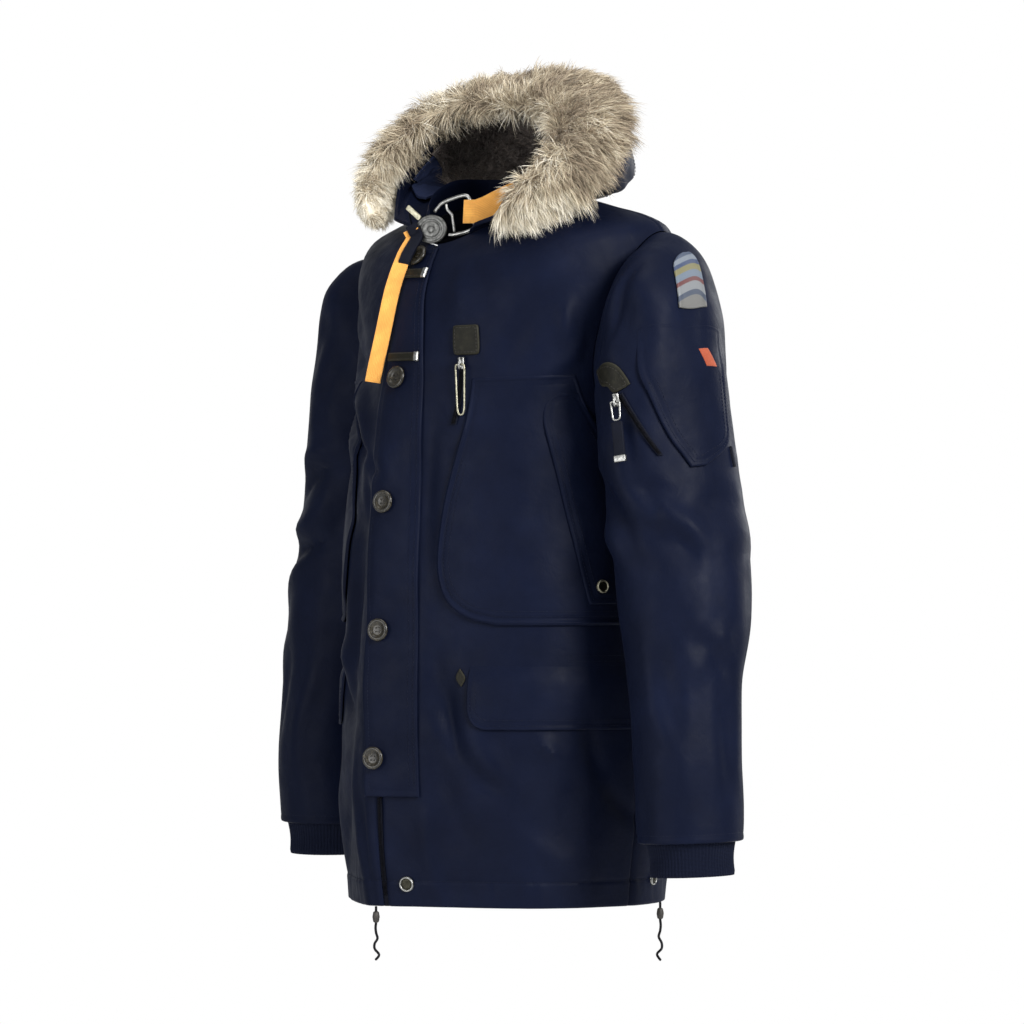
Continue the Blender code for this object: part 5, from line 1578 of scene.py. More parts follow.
class PARKA_OT_stage(bpy.types.Operator):
    """Sets the camera, the soft lights, the pale floor and the white surround"""

    bl_idname = "parka.stage"
    bl_label = "Stage"

    def execute(self, context):
        told, scene = stage(), context.scene
        scene.view_settings.view_transform = "Standard"
        way, target = heading(told.camera_azimuth), Vector((0, 0, told.camera_height))
        lens = bpy.data.cameras.new("camera")
        lens.sensor_width = SENSOR_WIDTH
        lens.lens = SENSOR_WIDTH * told.camera_distance / told.frame_width
        lens.shift_x = CAMERA_SHIFT
        lens.clip_end = 100
        scene.camera = placed("camera", lens)
        scene.camera.location = target + way * told.camera_distance
        scene.camera.rotation_euler = (-way).to_track_quat("-Z", "Y").to_euler()
        for name, azimuth, height, distance, size, power, share in LIGHTS:
            lamp = bpy.data.lights.new(name, "AREA")
            lamp.energy, lamp.size = getattr(told, power) * share, size
            light = placed(name, lamp)
            light.location = target + heading(math.radians(azimuth)) * distance + Vector((0, 0, height))
            light.rotation_euler = (target - light.location).to_track_quat("-Z", "Y").to_euler()
        world = bpy.data.worlds.new("sky")
        world.use_nodes = True
        plug(world.node_tree, world.node_tree.nodes["Background"], {
            "Color": (0.93, 0.96, 1.0, 1), "Strength": told.sky})
        scene.world = world
        self.make_floor(told.floor_height)
        self.make_surround()
        return {"FINISHED"}

    @staticmethod
    def make_floor(height):
        shape = bmesh.new()
        bmesh.ops.create_circle(shape, cap_ends=True, segments=96, radius=6.0)
        bmesh.ops.translate(shape, vec=(0, 0, height), verts=shape.verts)
        floor = placed("floor", mesh_of("floor", shape))

        def matt(tree, shader):
            plug(tree, shader, {"Base Color": (0.86, 0.86, 0.85, 1), "Roughness": 0.8})

        floor.data.materials.append(finish("pale_floor", matt))

    @staticmethod
    def make_surround():
        """A white ball far round everything, which only the camera sees."""
        shape = bmesh.new()
        bmesh.ops.create_uvsphere(shape, u_segments=32, v_segments=16, radius=40.0)
        surround = placed("surround", mesh_of("surround", shape))

        def glow(tree, shader):
            white = linked(tree, "ShaderNodeEmission", {"Color": (1, 1, 1, 1), "Strength": 1.0})
            plug(tree, tree.nodes["Material Output"], {"Surface": (white, "Emission")})

        surround.data.materials.append(finish("surround_white", glow))
        for name in UNSEEN_BY:
            setattr(surround, name, False)


HEM_CORDS = ((-1, "right", None, 0.058), (1, "left", math.radians(128), 0.064))  # (side, name, angle, drop)
CORD_FROM_CLOSURE = 0.014  # the right one hangs this far round from the closure
CORD_BEAD = (
    (0.0, 0.0062), (0.0020, 0.0062), (0.0032, 0.0050), (0.0040, 0.0), (0.0032, -0.0050), (0.0020, -0.0062),
    (0.0, -0.0062),
)


class PARKA_OT_hem_cords(bpy.types.Operator):
    """Makes the two free ends of the hem's draw cord with their beads"""

    bl_idname = "parka.hem_cords"
    bl_label = "Hem Cords"

    def execute(self, context):
        for side, name, angle, drop in HEM_CORDS:
            if angle is None:
                angle = arc_angle(drift(HEM_Z) - CORD_FROM_CLOSURE, HEM_Z)
            start = body_point(angle, HEM_Z) - body_normal(angle, HEM_Z) * SHELL / 2
            line = []
            for i in range(11):
                sway = side * 0.0009 * max(0, i - 3) * math.sin(1.9 * i)
                line.append(start + Vector((sway, 0, -0.0006 - drop * i / 10)))
            path = smooth_line(line, 41)
            cord = piece("draw_cord_" + name, sweep(path, CORD_R, 12), braid(), "black_cord",
                         ["hem_cord_" + name])
            bead = turned(rounded_profile(CORD_BEAD), Matrix.Translation(line[2]), 24)
            stop = piece("cord_stop_" + name, bead, dark_thread(), "black_cord", ["cord_bead_" + name])
            lengths_along(path)[-1]
        return {"FINISHED"}


# ---------------------------------------------------------------- body and sleeves
HEM_ROWS = (0.0, 0.0004, 0.0010, 0.0020, 0.0034)  # heights of the rounded hem's rows
HEM_ROUND = 0.0022
SEAM_ROUND = 0.0015
INNER_SHARE = 0.4  # of the outside's creases, that the inside of the cloth has
TUNNEL_Z = -0.713
SEAM_ANGLE = SEAM / 0.3
RADIAN_METRES = 0.18  # about how far one radian is, round the body
PANELS = (
    ("left_front", "front_left", None, SIDE_SEAM, 88, (0.32, 0.77)),
    ("right_front", "front_right", -SIDE_SEAM, None, 88, (0.32, 0.77)),
    ("back_panel", "back", SIDE_SEAM, 2 * math.pi - SIDE_SEAM, 120, (0.62, 0.83)),
)  # (name, node, angles of both edges with None for the closure, columns, flat size)
ZIP_LENGTH = 0.70
ZIP_START = 0.012
ZIP_PITCH = 0.0014
HIP_SEAM = (0.207, 0.292)
HIP_SEAM_Z = -0.4665


@functools.lru_cache(maxsize=None)
def body_levels():
    """Levels from the rounded hem to the neck, closest at the hem's tunnel and where the shoulder turns."""
    levels = [HEM_Z + d for d in HEM_ROWS]
    for top, step in (
            (TUNNEL_Z - 0.006, 0.0050), (TUNNEL_Z + 0.006, 0.0011), (-0.06, 0.0070), (TOP_LEVEL, 0.0040)):
        count = round((top - levels[-1]) / step)
        levels += [levels[-1] + (top - levels[-1]) * (i + 1) / count for i in range(count)]
    return levels


def level_at(v):
    return body_levels()[round(v * (len(body_levels()) - 1))]


def hem_pucker(arc, z):
    """The draw cord's tunnel gathers the cloth a little above and below its stitches."""
    below = 1 - ease(TUNNEL_Z - 0.004, TUNNEL_Z + 0.004, z)
    gather = noise.noise(Vector((arc * 95, 0.5, 2.0))) + 0.6 * noise.noise(Vector((arc * 41, 3.0, z * 20)))
    lift = gather * (0.0009 * hill(z - TUNNEL_Z, 0.012) + 0.0006 * below)
    return lift - 0.0007 * hill(z - TUNNEL_Z, 0.0022) + 0.0008 * below


class PARKA_OT_body(bpy.types.Operator):
    """Makes the back and both fronts, cut at the armholes, and the zip between the fronts"""

    bl_idname = "parka.body"
    bl_label = "Body"

    def execute(self, context):
        holes = {side: self.armhole(side) for side in (-1, 1)}
        for row in PANELS:
            self.panel(holes, *row)
        for hole in holes.values():
            bpy.data.objects.remove(hole)
        self.front_zip()
        self.sew_hem()
        return {"FINISHED"}

    @staticmethod
    def armhole(side):
        """The shape that cuts one armhole."""
        shape = bmesh.new()
        bmesh.ops.create_cone(shape, cap_ends=True, segments=160, radius1=1, radius2=1, depth=0.26)
        for corner in shape.verts:
            y, z = armhole_yz(math.atan2(corner.co.y, corner.co.x))
            corner.co = Vector((side * (0.23 + corner.co.z), y, z))
        made = placed("armhole", mesh_of("armhole", outward(shape)))
        made.hide_render = True
        return made

    @staticmethod
    def panel(holes, name, node, start, end, columns, flat):
        whole = None not in (start, end)

        @functools.lru_cache(maxsize=None)
        def edges(level):
            first = arc_angle(drift(level) + FRONT_GAP, level) if start is None else start + SEAM_ANGLE
            last = arc_angle(drift(level) - FRONT_GAP, level) if end is None else end - SEAM_ANGLE
            return first, last

        def spot(u, v):
            level = level_at(v)
            first, last = edges(level)
            angle = first + (last - first) * (crowded(u) * 0.35 + u * 0.65)
            return level, angle, angle_arc(angle, level) - drift(level), min(angle - first, last - angle)

        def place(u, v, w):
            level, angle, arc, gap = spot(u, v)
            point, z = body_point(angle, level), front_height(level)
            lift = body_relief(arc, z, point)
            if z < TUNNEL_Z + 0.05:
                lift += hem_pucker(arc, z)
            if w:
                return point + body_normal(angle, level) * (INNER_SHARE * lift - SHELL)
            lift += rounded_rim(gap * RADIAN_METRES, SEAM_ROUND) + rounded_rim(level - HEM_Z, HEM_ROUND)
            if whole:
                lift -= cloth().pucker * hill(gap * RADIAN_METRES, 0.005)
            return point + body_normal(angle, level) * lift

        def metres(u, v):
            level, _, arc, _ = spot(u, v)
            return arc, level

        shape = wall(columns, len(body_levels()) - 1, place, metres)
        made = piece(name, shape, shell(), "navy_shell", [node])
        own_side = 1 if start is None else -1
        carved(made, [holes[side] for side in (-1, 1) if whole or side == own_side], 40)

    @staticmethod
    def front_zip():
        def place(u, v, w):
            level = level_at(v)
            angle = arc_angle(drift(level) + (FRONT_GAP - 2 * SEAM) * (2 * u - 1), level)
            return body_point(angle, level) - body_normal(angle, level) * (0.0022 + 0.0016 * w)

        shape = wall(4, len(body_levels()) - 1, place, lambda u, v: (u * 0.006, level_at(v)))
        piece("zip_tape", shape, tape(), "navy_rib", ["front_zip"])
        places, up = [], Vector((0, 0, 1))
        for i in range(int(ZIP_LENGTH / ZIP_PITCH)):
            level = HEM_Z + ZIP_START + i * ZIP_PITCH
            angle = arc_angle(drift(level) + (0.0009 if i % 2 else -0.0009), level)
            normal = body_normal(angle, level)
            spot = body_point(angle, level) - normal * 0.0016
            places.append(matrix_of(spot, up.cross(normal).normalized(), up, normal))
        repeated("zip_teeth", tooth((0.0030, 0.0009, 0.0011), 0.00018), places, gunmetal(), "old_brass")

    @staticmethod
    def sew_hem():
        """The row of the hem's tunnel, and the two above the wearer's left hip flap."""
        line = []
        for i in range(900):
            angle = 2 * math.pi * i / 900
            arc, point = angle_arc(angle, TUNNEL_Z) - drift(TUNNEL_Z), body_point(angle, TUNNEL_Z)
            lift = body_relief(arc, TUNNEL_Z, point) + hem_pucker(arc, TUNNEL_Z) + 0.0003
            line.append(point + body_normal(angle, TUNNEL_Z) * lift)
        sew(stitch_places(line))
        start, end = HIP_SEAM
        for below in (0.0036, 0.00945):
            sew(stitch_places([on_body(start + (end - start) * i / 30, HIP_SEAM_Z - below, 0.0003)
                               for i in range(31)]))


SLEEVE_ROWS = (
    0, 0.006, 0.014, 0.026, 0.042, *(0.06 + (1.972 - 0.06) * i / 96 for i in range(97)),
    1.981, 1.988, 1.994, 1.998, 2.0,
)  # closest at both ends
SLEEVE_STITCH_UP = 0.009  # the row of stitches above the sleeve's hem
CUFF_ROWS = 16


def sleeve_row(v):
    return SLEEVE_ROWS[round(v * (len(SLEEVE_ROWS) - 1))]


class PARKA_OT_sleeves(bpy.types.Operator):
    """Makes both sleeves with their knitted cuffs"""

    bl_idname = "parka.sleeves"
    bl_label = "Sleeves and Cuffs"

    def execute(self, context):
        for side, name in ((1, "left"), (-1, "right")):
            def place(u, v, w):
                along, turn = sleeve_row(v), 2 * math.pi * (u % 1)
                lift, below = sleeve_relief(turn, along, side), (2 - along) * SHARE_METRES
                normal = sleeve_normal(turn, along)
                if w:
                    return mirrored(sleeve_point(turn, along) + normal * (INNER_SHARE * lift - SHELL), side)
                lift -= 0.0008 * (1 - ease(0, 0.035, along))
                lift += rounded_rim(below, HEM_ROUND)
                lift -= 0.0007 * hill(below - SLEEVE_STITCH_UP, 0.0018)
                return mirrored(sleeve_point(turn, along) + normal * lift, side)

            def metres(u, v):
                return u * 2 * math.pi * TURN_METRES, sleeve_row(v) * SHARE_METRES

            shape = wall(104, len(SLEEVE_ROWS) - 1, place, metres, joined=True)
            made = piece("sleeve_shell_" + name, shape, shell(), "navy_shell", ["sleeve_" + name])
            self.cuff(side, name)
            along = 2 - SLEEVE_STITCH_UP / SHARE_METRES
            sew(stitch_places([on_sleeve(2 * math.pi * i / 260, along, -0.0004, side) for i in range(260)]))
        return {"FINISHED"}

    @staticmethod
    def cuff(side, name):
        centre, run, away, forward = sleeve_frame(SLEEVE_HEM_Z)
        reach = (SLEEVE_HEM_Z - CUFF_END_Z) + CUFF_HIDDEN
        ribs = cloth().rib_count

        def place(u, v, w):
            turn = 2 * math.pi * (u % 1)
            down = v * reach - CUFF_HIDDEN
            waist = 0.0022 * math.sin(math.pi * min(max(down / 0.036, 0), 1))
            waist += 0.0006 * math.sin(3 * turn + v * 4)
            rib = 0.00055 * math.cos(ribs * turn) * (1 if w == 0 else INNER_SHARE)
            rim = rounded_rim((1 - v) * reach, 0.0012) * (1 if w == 0 else -1)
            inset = SHELL + 0.0007 + CUFF_INSET * v + CLOTH * w + waist - rib - rim
            ring = (away * (sleeve_section("r_side", SLEEVE_HEM_Z) - inset) * math.sin(turn)
                    + forward * (sleeve_section("r_depth", SLEEVE_HEM_Z) - inset) * math.cos(turn))
            return mirrored(centre + ring + run * down, side)

        shape = wall(ribs * 4, CUFF_ROWS, place, lambda u, v: (u * 0.32, v * reach), joined=True)
        made = piece("rib_cuff_" + name, shape, rib_knit(), "navy_rib", ["cuff_" + name], sharp=0)


# ---------------------------------------------------------------- hood, collar and lining
HOOD_SEAMS = (-0.3, 0.3)
HOOD_PANELS = (  # (name, shares of both edges, columns, flat size)
    ("right", -1, -0.3, 56, (0.20, 0.12)),
    ("centre", -0.3, 0.3, 44, (0.24, 0.16)),
    ("left", 0.3, 1, 56, (0.20, 0.12)),
)
FACINGS = (("right", -0.72, -0.5645), ("left", 0.5645, 0.72))
FACING_DEPTH = HOOD_T + 0.0034
PLUSH_SHARE = 0.56
PLUSH_RISES = (0.16, 0.93)
PLUSH_DEPTH = HOOD_T + 0.0018
PLUSH_T = 0.0026


class PARKA_OT_hood(bpy.types.Operator):
    """Makes the hood's three panels, its facings, the collar and the plush lining"""

    bl_idname = "parka.hood"
    bl_label = "Hood and Collar"

    def execute(self, context):
        for name, start, end, columns, flat in HOOD_PANELS:
            def place(u, v, w):
                share = start + (end - start) * u
                share += HOOD_SEAM * 0.4 * (1 - 2 * u) if abs(share) < 1 else 0
                gap = min(abs(share - start), abs(share - end)) * HOOD_SHARE_METRES
                lift = hood_relief(share, v)
                if w:
                    return hood_point(share, v) + hood_normal(share, v) * (0.5 * lift - HOOD_T)
                lift -= cloth().pucker * hill(gap, 0.004) if abs(share) < 0.95 else 0
                return hood_point(share, v) + hood_normal(share, v) * lift

            shape = wall(columns, 40, place, lambda u, v: (u * 0.26, v * 0.2))
            made = piece("hood_panel_" + name, shape, shell(), "navy_shell", ["hood_" + name])
        for seam in HOOD_SEAMS:
            for off in (-0.006, 0.006):
                sew(stitch_places([on_hood(seam + off, 0.08 + 0.84 * i / 60, 0.0002) for i in range(61)]))
        for name, start, end in FACINGS:
            def facing(u, v, w):
                share, rise = start + (end - start) * u, 0.10 + 0.80 * v
                fold = 0.0026 * math.sin(13 * rise + 22 * share)
                fold += 0.0022 * noise.noise(Vector((share * 22, rise * 9, 4)))
                depth = FACING_DEPTH + CLOTH * w + fold * ease(0, 0.2, v) * (1 - ease(0.8, 1, v))
                return hood_point(share, rise) - hood_normal(share, rise) * depth

            shape = wall(18, 30, facing, lambda u, v: (u * 0.06, v * 0.15))
            made = piece("facing_" + name, shape, lining(), "navy_shell", ["hood_facing_" + name])
        self.collar()
        self.plush()
        return {"FINISHED"}

    @staticmethod
    def collar():
        def place(u, v, w):
            angle = math.pi + (2 * u - 1) * (math.pi - STAND_FRONT_ANGLE)
            rim = rounded_rim((1 - v) * COLLAR_HEIGHT, 0.0011) * (1 if w == 0 else -1)
            wave = 0.0007 * noise.noise(Vector((angle * 4, v * 2, 9)))
            return stand_point(angle, v, CLOTH * w - rim - wave)

        shape = wall(120, 12, place, lambda u, v: (u * 0.5, v * COLLAR_HEIGHT))
        made = piece("collar", shape, shell(), "navy_shell", ["neck_stand"])

    @staticmethod
    def plush():
        low, high = PLUSH_RISES

        def ground(share, rise, depth):
            return hood_point(share, rise) - hood_normal(share, rise) * (PLUSH_DEPTH + depth)

        def place(u, v, w):
            return ground(PLUSH_SHARE * (2 * u - 1), low + (high - low) * v, PLUSH_T * w)

        shape = wall(48, 30, place, lambda u, v: (u * 0.5, v * 0.16))
        made = piece("plush_ground", shape, pile_hair(), "pile_lining", ["hood_pile"])
        count, draw = fur().pile_hairs, np.random.default_rng(11)
        shares, rises = draw.uniform(-0.555, 0.555, count), draw.uniform(0.165, 0.925, count)
        roots, normals, _ = surface_samples(
            lambda s, r: ground(s, r, PLUSH_T), lambda s, r: -hood_normal(s, r), shares, rises,
            (-PLUSH_SHARE, PLUSH_SHARE), PLUSH_RISES)
        curl = smooth_field(draw, shares * 9, rises * 5, 40) * 1.1
        ways = normals + curl + draw.normal(0, 0.35, (count, 3))
        hairs("plush_hair", roots, ways, fur().pile_length * draw.uniform(0.6, 1.1, count), 0.0011,
              draw.normal(0, 0.5, (count, 3)), pile_hair(), "pile_lining", draw)


# ---------------------------------------------------------------- fur
HAIR_ROWS = np.array((0.0, 0.38, 0.74, 1.0))
HAIR_CORNERS = np.array((0, 1, 3, 2, 2, 3, 5, 4, 4, 5, 6))  # of its two squares and its tip
CORE_SHARES = (0.62, 0.60)  # the soft core's size, of the band's half width and half depth
RUFF_END = 0.985
RUFF_BANDS = (  # (name, seed, share of the hair's length, spread, share of the count)
    ("guard_front", 3, 1.0, 0.13, 1), ("guard_back", 4, 0.92, 0.17, 1), ("under", 5, 0.62, 0.34, 0.8),
)
# On the wearer's right the fur is shorter, and shortest at its end: (share where it starts, run, shortening).
SHORTER = ((0.45, 0.30, 0.30), (0.80, 0.15, 0.22))


def surface_samples(point, normal, us, vs, u_range, v_range, steps=60):
    """Roots, normals and u directions at many (u, v), read between the knots of a grid of the surface."""
    knots = np.zeros((steps + 1, steps + 1, 6))
    for i in range(steps + 1):
        for j in range(steps + 1):
            u = u_range[0] + (u_range[1] - u_range[0]) * i / steps
            v = v_range[0] + (v_range[1] - v_range[0]) * j / steps
            knots[i, j] = (*point(u, v), *normal(u, v))
    a = (us - u_range[0]) / (u_range[1] - u_range[0]) * steps
    b = (vs - v_range[0]) / (v_range[1] - v_range[0]) * steps
    i, j = np.minimum(a.astype(int), steps - 1), np.minimum(b.astype(int), steps - 1)
    s, t = (a - i)[:, None], (b - j)[:, None]
    found = (knots[i, j] * (1 - s) * (1 - t) + knots[i + 1, j] * s * (1 - t) + knots[i, j + 1] * (1 - s) * t
             + knots[i + 1, j + 1] * s * t)
    sides = knots[i + 1, j, :3] - knots[i, j, :3]
    return found[:, :3], found[:, 3:], sides / np.linalg.norm(sides, axis=1)[:, None]


def smooth_field(draw, x, y, waves):
    """A smooth random vector field over (x, y), about one long."""
    field = np.zeros((len(x), 3))
    for _ in range(waves):
        a, b, phase = draw.normal(0, 1, 2), draw.normal(0, 1, 3), draw.uniform(0, 2 * math.pi)
        field += np.sin(a[0] * x + a[1] * y + phase)[:, None] * b
    return field / math.sqrt(waves)


def hairs(name, roots, ways, lengths, width, bends, material, slot, draw):
    """One joined mesh of ribbon hairs, each with its own number across the map and root to tip up it."""
    count = len(roots)
    ways = ways / np.linalg.norm(ways, axis=1)[:, None]
    sides = np.cross(ways, draw.normal(0, 1, (count, 3)))
    sides /= np.linalg.norm(sides, axis=1)[:, None]
    points = np.zeros((count, 7, 3))
    for k, s in enumerate(HAIR_ROWS):
        middle = roots + lengths[:, None] * (ways * s + bends * s * s)
        half = sides * (width / 2 * (1 - 0.75 * s))
        if k < 3:
            points[:, 2 * k], points[:, 2 * k + 1] = middle - half, middle + half
        else:
            points[:, 6] = middle
    corners = (HAIR_CORNERS[None, :] + 7 * np.arange(count)[:, None]).ravel()
    data = mesh_from(name, points.reshape(-1, 3), corners, np.tile((4, 4, 3), count))
    rise = np.append(np.repeat(HAIR_ROWS[:3], 2), 1.0)
    chance = draw.uniform(0, 1, count)
    spots = np.stack([np.repeat(chance, len(HAIR_CORNERS)), np.tile(rise[HAIR_CORNERS], count)], 1)
    data.uv_layers.new(name="OFBake").data.foreach_set("uv", spots.astype(np.float32).ravel())
    return finished(name, data, material, slot, sharp=0)


def ruff_spot(share, around, width, depth):
    """A point of the band's core: around is 0 on its outer edge, a quarter turn on its front face."""
    middle, wide, deep = ruff_frame(share)
    size = ruff_value("size", share) * min(1.0, ((1 - abs(share)) / 0.10)) ** 0.5
    return middle + wide * width * size * math.cos(around) + deep * depth * size * math.sin(around)


class PARKA_OT_ruff(bpy.types.Operator):
    """Makes the fur band round the hood: its soft core and the hairs on it"""

    bl_idname = "parka.ruff"
    bl_label = "Fur Ruff"

    def execute(self, context):
        shape = bmesh.new()
        bmesh.ops.create_uvsphere(shape, u_segments=24, v_segments=90, radius=1)
        core = (RUFF_HALF_WIDTH * CORE_SHARES[0], RUFF_HALF_DEPTH * CORE_SHARES[1])
        for corner in shape.verts:
            share = 1 - 2 * math.acos(max(-1, min(1, corner.co.z))) / math.pi
            around = math.atan2(corner.co.y, corner.co.x)
            lump = 1 + 0.10 * noise.noise(Vector((share * 14, math.cos(around) * 2, math.sin(around) * 2)))
            corner.co = ruff_spot(share, around, core[0] * lump, core[1] * lump)
        mapped(shape, lambda co: (0.5, 0.2), "OFBake")
        piece("ruff_core", outward(shape), ruff_hair(), "fur", ["ruff"], sharp=0)
        for name, seed, length, spread, share in RUFF_BANDS:
            self.band("ruff_hair_" + name, seed, length, spread, int(fur().guard_hairs * share), core)
        return {"FINISHED"}

    @staticmethod
    def band(name, seed, length_share, spread, count, core):
        draw = np.random.default_rng(seed)
        shares = draw.uniform(-RUFF_END, RUFF_END, count)
        turns = draw.uniform(0, 2 * math.pi, count)

        def normal(share, around):
            e = 0.02
            along = ruff_spot(share + 0.004, around, *core) - ruff_spot(share - 0.004, around, *core)
            across = ruff_spot(share, around + e, *core) - ruff_spot(share, around - e, *core)
            made = across.cross(along).normalized()
            middle = ruff_frame(share)[0]
            return made if made.dot(ruff_spot(share, around, *core) - middle) > 0 else -made

        roots, normals, alongs = surface_samples(
            lambda s, a: ruff_spot(s, a, *core), normal, shares, turns, (-0.99, 0.99), (0, 2 * math.pi), 72)
        wides = np.array([tuple(ruff_frame(-0.99 + 1.98 * i / 200)[1]) for i in range(201)])
        wide = wides[np.minimum(((shares + 0.99) / 1.98 * 200).astype(int), 200)]
        outer = (np.cos(turns)[:, None] + 1) / 2
        down = np.array((0.0, 0.0, -1.0))
        downward = alongs * np.sign(shares)[:, None]
        # hair leaves the band outwards, turns back over its outer edge and falls towards its ends
        ways = (normals * 0.38 + wide * (0.34 + 0.50 * outer)
                + downward * (0.16 + 0.30 * np.abs(shares)[:, None]) + down * 0.10)
        tufts = smooth_field(draw, shares * 34, np.cos(turns) * 3.2, 60)
        wisps = smooth_field(draw, shares * 120, np.cos(turns) * 9.0 + np.sin(turns) * 5, 60)
        ways = ways + 0.26 * tufts + spread * wisps + draw.normal(0, 0.06, (count, 3))
        lengths = fur().guard_length * length_share * draw.uniform(0.62, 1.0, count)
        lengths *= 1 + 0.16 * smooth_field(draw, shares * 40, turns, 30)[:, 0]
        sizes, left = np.array([ruff_value("size", round(float(s), 2)) for s in shares]), 1
        for start, run, shortening in SHORTER:
            left = left - shortening * np.clip((-shares - start) / run, 0, 1)
        bends = down * 0.20 - normals * 0.26 + 0.12 * wisps + draw.normal(0, 0.04, (count, 3))
        hairs(name, roots, ways, lengths * (sizes * left), fur().hair_width, bends, ruff_hair(), "fur", draw)


# ---------------------------------------------------------------- patches: pockets, flaps, tabs and labels
ON_SLEEVE = {"at": on_sleeve, "metres": (TURN_METRES, SHARE_METRES)}
PIPING = ((0.0030, 0.0013, 0.0012), (0.0074, 0.0020, -0.0010))  # (from the edge, half width, rise)
HEMMED = ((0.0060, 0.0016, -0.0006),)
STORM_HEM = ((0.0070, 0.0016, -0.0005),)
MERROWED = ((0.0014, 0.0011, 0.0009),)
DOUBLE_ROW = (0.0045, 0.0105)
FLUSH = 0.0002


@functools.lru_cache(maxsize=None)
def pouch_outline():
    return outline_of(cut_of(CHEST_POUCH, 40, 44))


def flush(height, start, end, place):
    """Sinks a piece that stands this high until it is flush with the cloth, from place end to place start."""
    return -(height - FLUSH) * (1 - ease(start, end, place))


@functools.lru_cache(maxsize=None)
def pouch_fullness(x, y, _rim=None):
    """The chest pouch stands fullest low in its middle, and its top runs out flush with the front."""
    rim = float(rim_of(np.array([[x, y]]), pouch_outline())[0])
    fold = 0.0016 * noise.noise(Vector((x * 22, y * 9, 5.0))) - 0.0012 * hill(x - y * 0.3 - 0.26, 0.010)
    swell = ease(0.004, 0.055, rim) * ease(0.172, 0.26, -y) * (0.0034 + fold)
    return swell + flush(POUCH_OUT, 0.185, 0.255, -y)


def hand_fullness(x, y, _rim=None):
    return pouch_fullness(x, y) + flush(LIFT + FLAP_T, 0.196, 0.235, -y)


def lid_fullness(x, y, rim):
    """The hip flap is soft, and its top is sewn down flush."""
    soft = ease(0.003, 0.050, rim) * (0.0012 + 0.0007 * noise.noise(Vector((x * 20, y * 11, 1.0))))
    return soft + flush(HIP_LIFT + FLAP_T, 0.480, 0.500, -y)


def arm_flap_fullness(x, y, rim):
    """The arm pocket's flap is flush above, where its seam lies."""
    return ease(0.0, 0.03, rim) * 0.0010 + flush(POUCH_LIFT + FLAP_T, 0.60, 0.72, y)


def flap_dimples(x, y, _rim=None):
    """The storm flap is drawn in round its buttons and waves a little between them."""
    lift = 0.0012 * math.sin(y * 46) * ease(0.0, 0.030, abs(y + 0.31) + 0.02) * 0.6
    for arc, z in BUTTONS:
        lift -= 0.0011 * hill(math.hypot(x - arc, y - z) - 0.013, 0.006)
    return lift + 0.0008 * noise.noise(Vector((x * 30, y * 16, 7.0)))


def everywhere(x, y):
    return True


def laid(name, node, rows, material, slot, out, thickness, flat=None, sharp=40, seams=(), keep=everywhere,
         kind="shell", **look):
    """A patch as a piece, with a row of stitches along it at each of these insets, where keep says so."""
    patch = Patch(rows, out, thickness, **look)
    made = piece(name, patch.shape(), material, slot, [node], sharp=sharp)
    for inset in seams:
        sew(patch.stitches(inset, keep), kind)
    return patch


class PARKA_OT_pockets(bpy.types.Operator):
    """Makes the chest pouches, the hand flaps over them, the hip pockets' flaps and their stitching"""

    bl_idname = "parka.pockets"
    bl_label = "Pockets"

    def execute(self, context):
        for side, name in ((1, "left"), (-1, "right")):
            laid("pouch_cloth_" + name, "chest_pouch_" + name, CHEST_POUCH, shell(), "navy_shell",
                 POUCH_LIFT, CLOTH, (0.21, 0.266), 55, (0.0095, 0.0150),
                 lambda x, y: y < -0.25 and (x < 0.25 or y < -0.42),
                 across=54, along=60, side=side, ridges=PIPING, swell=pouch_fullness)
            laid("hand_cloth_" + name, "hand_flap_" + name, HAND_FLAP, shell(), "navy_shell",
                 POUCH_OUT + LIFT, FLAP_T, (0.075, 0.225), 55, DOUBLE_ROW,
                 lambda x, y: y < -0.225 and x < 0.275,
                 across=34, along=60, side=side, ridges=HEMMED, swell=hand_fullness)
            laid("hip_lid_" + name, "hip_flap_" + name, HIP_FLAP, shell(), "navy_shell", HIP_LIFT, FLAP_T,
                 (0.197, 0.070), 55, DOUBLE_ROW, lambda x, y: y < -0.503,
                 across=46, along=24, side=side, ridges=HEMMED, swell=lid_fullness)
        laid("corner_patch", "pouch_corner", POUCH_CORNER, leather(), "leather", SMALL_LIFT, 0.0020,
             across=12, along=14, round_over=0.0010)
        return {"FINISHED"}


BUTTON_ROWS = (
    (0.0, 0.0022), (0.46, 0.0022), (0.58, 0.0031), (0.70, 0.0043), (0.84, 0.0046), (0.95, 0.0038),
    (1.0, 0.0024), (0.95, 0.0008), (0.80, 0.0), (0.0, 0.0),
)  # (share of its radius, height)
BUTTON_SUNK = 0.0004
HOLE_ASIDE = 0.0021
HOLE_R = 0.00085
BAR_HALF = 0.0046
BAR_T = 0.0031
BAR_TIP = 0.0058


def body_relief_at(arc, z):
    """How far the creases lift the body at this place."""
    return (on_body(arc, z) - plain_on_body(arc, z)).dot(
        (plain_on_body(arc, z, 0.01) - plain_on_body(arc, z)).normalized())


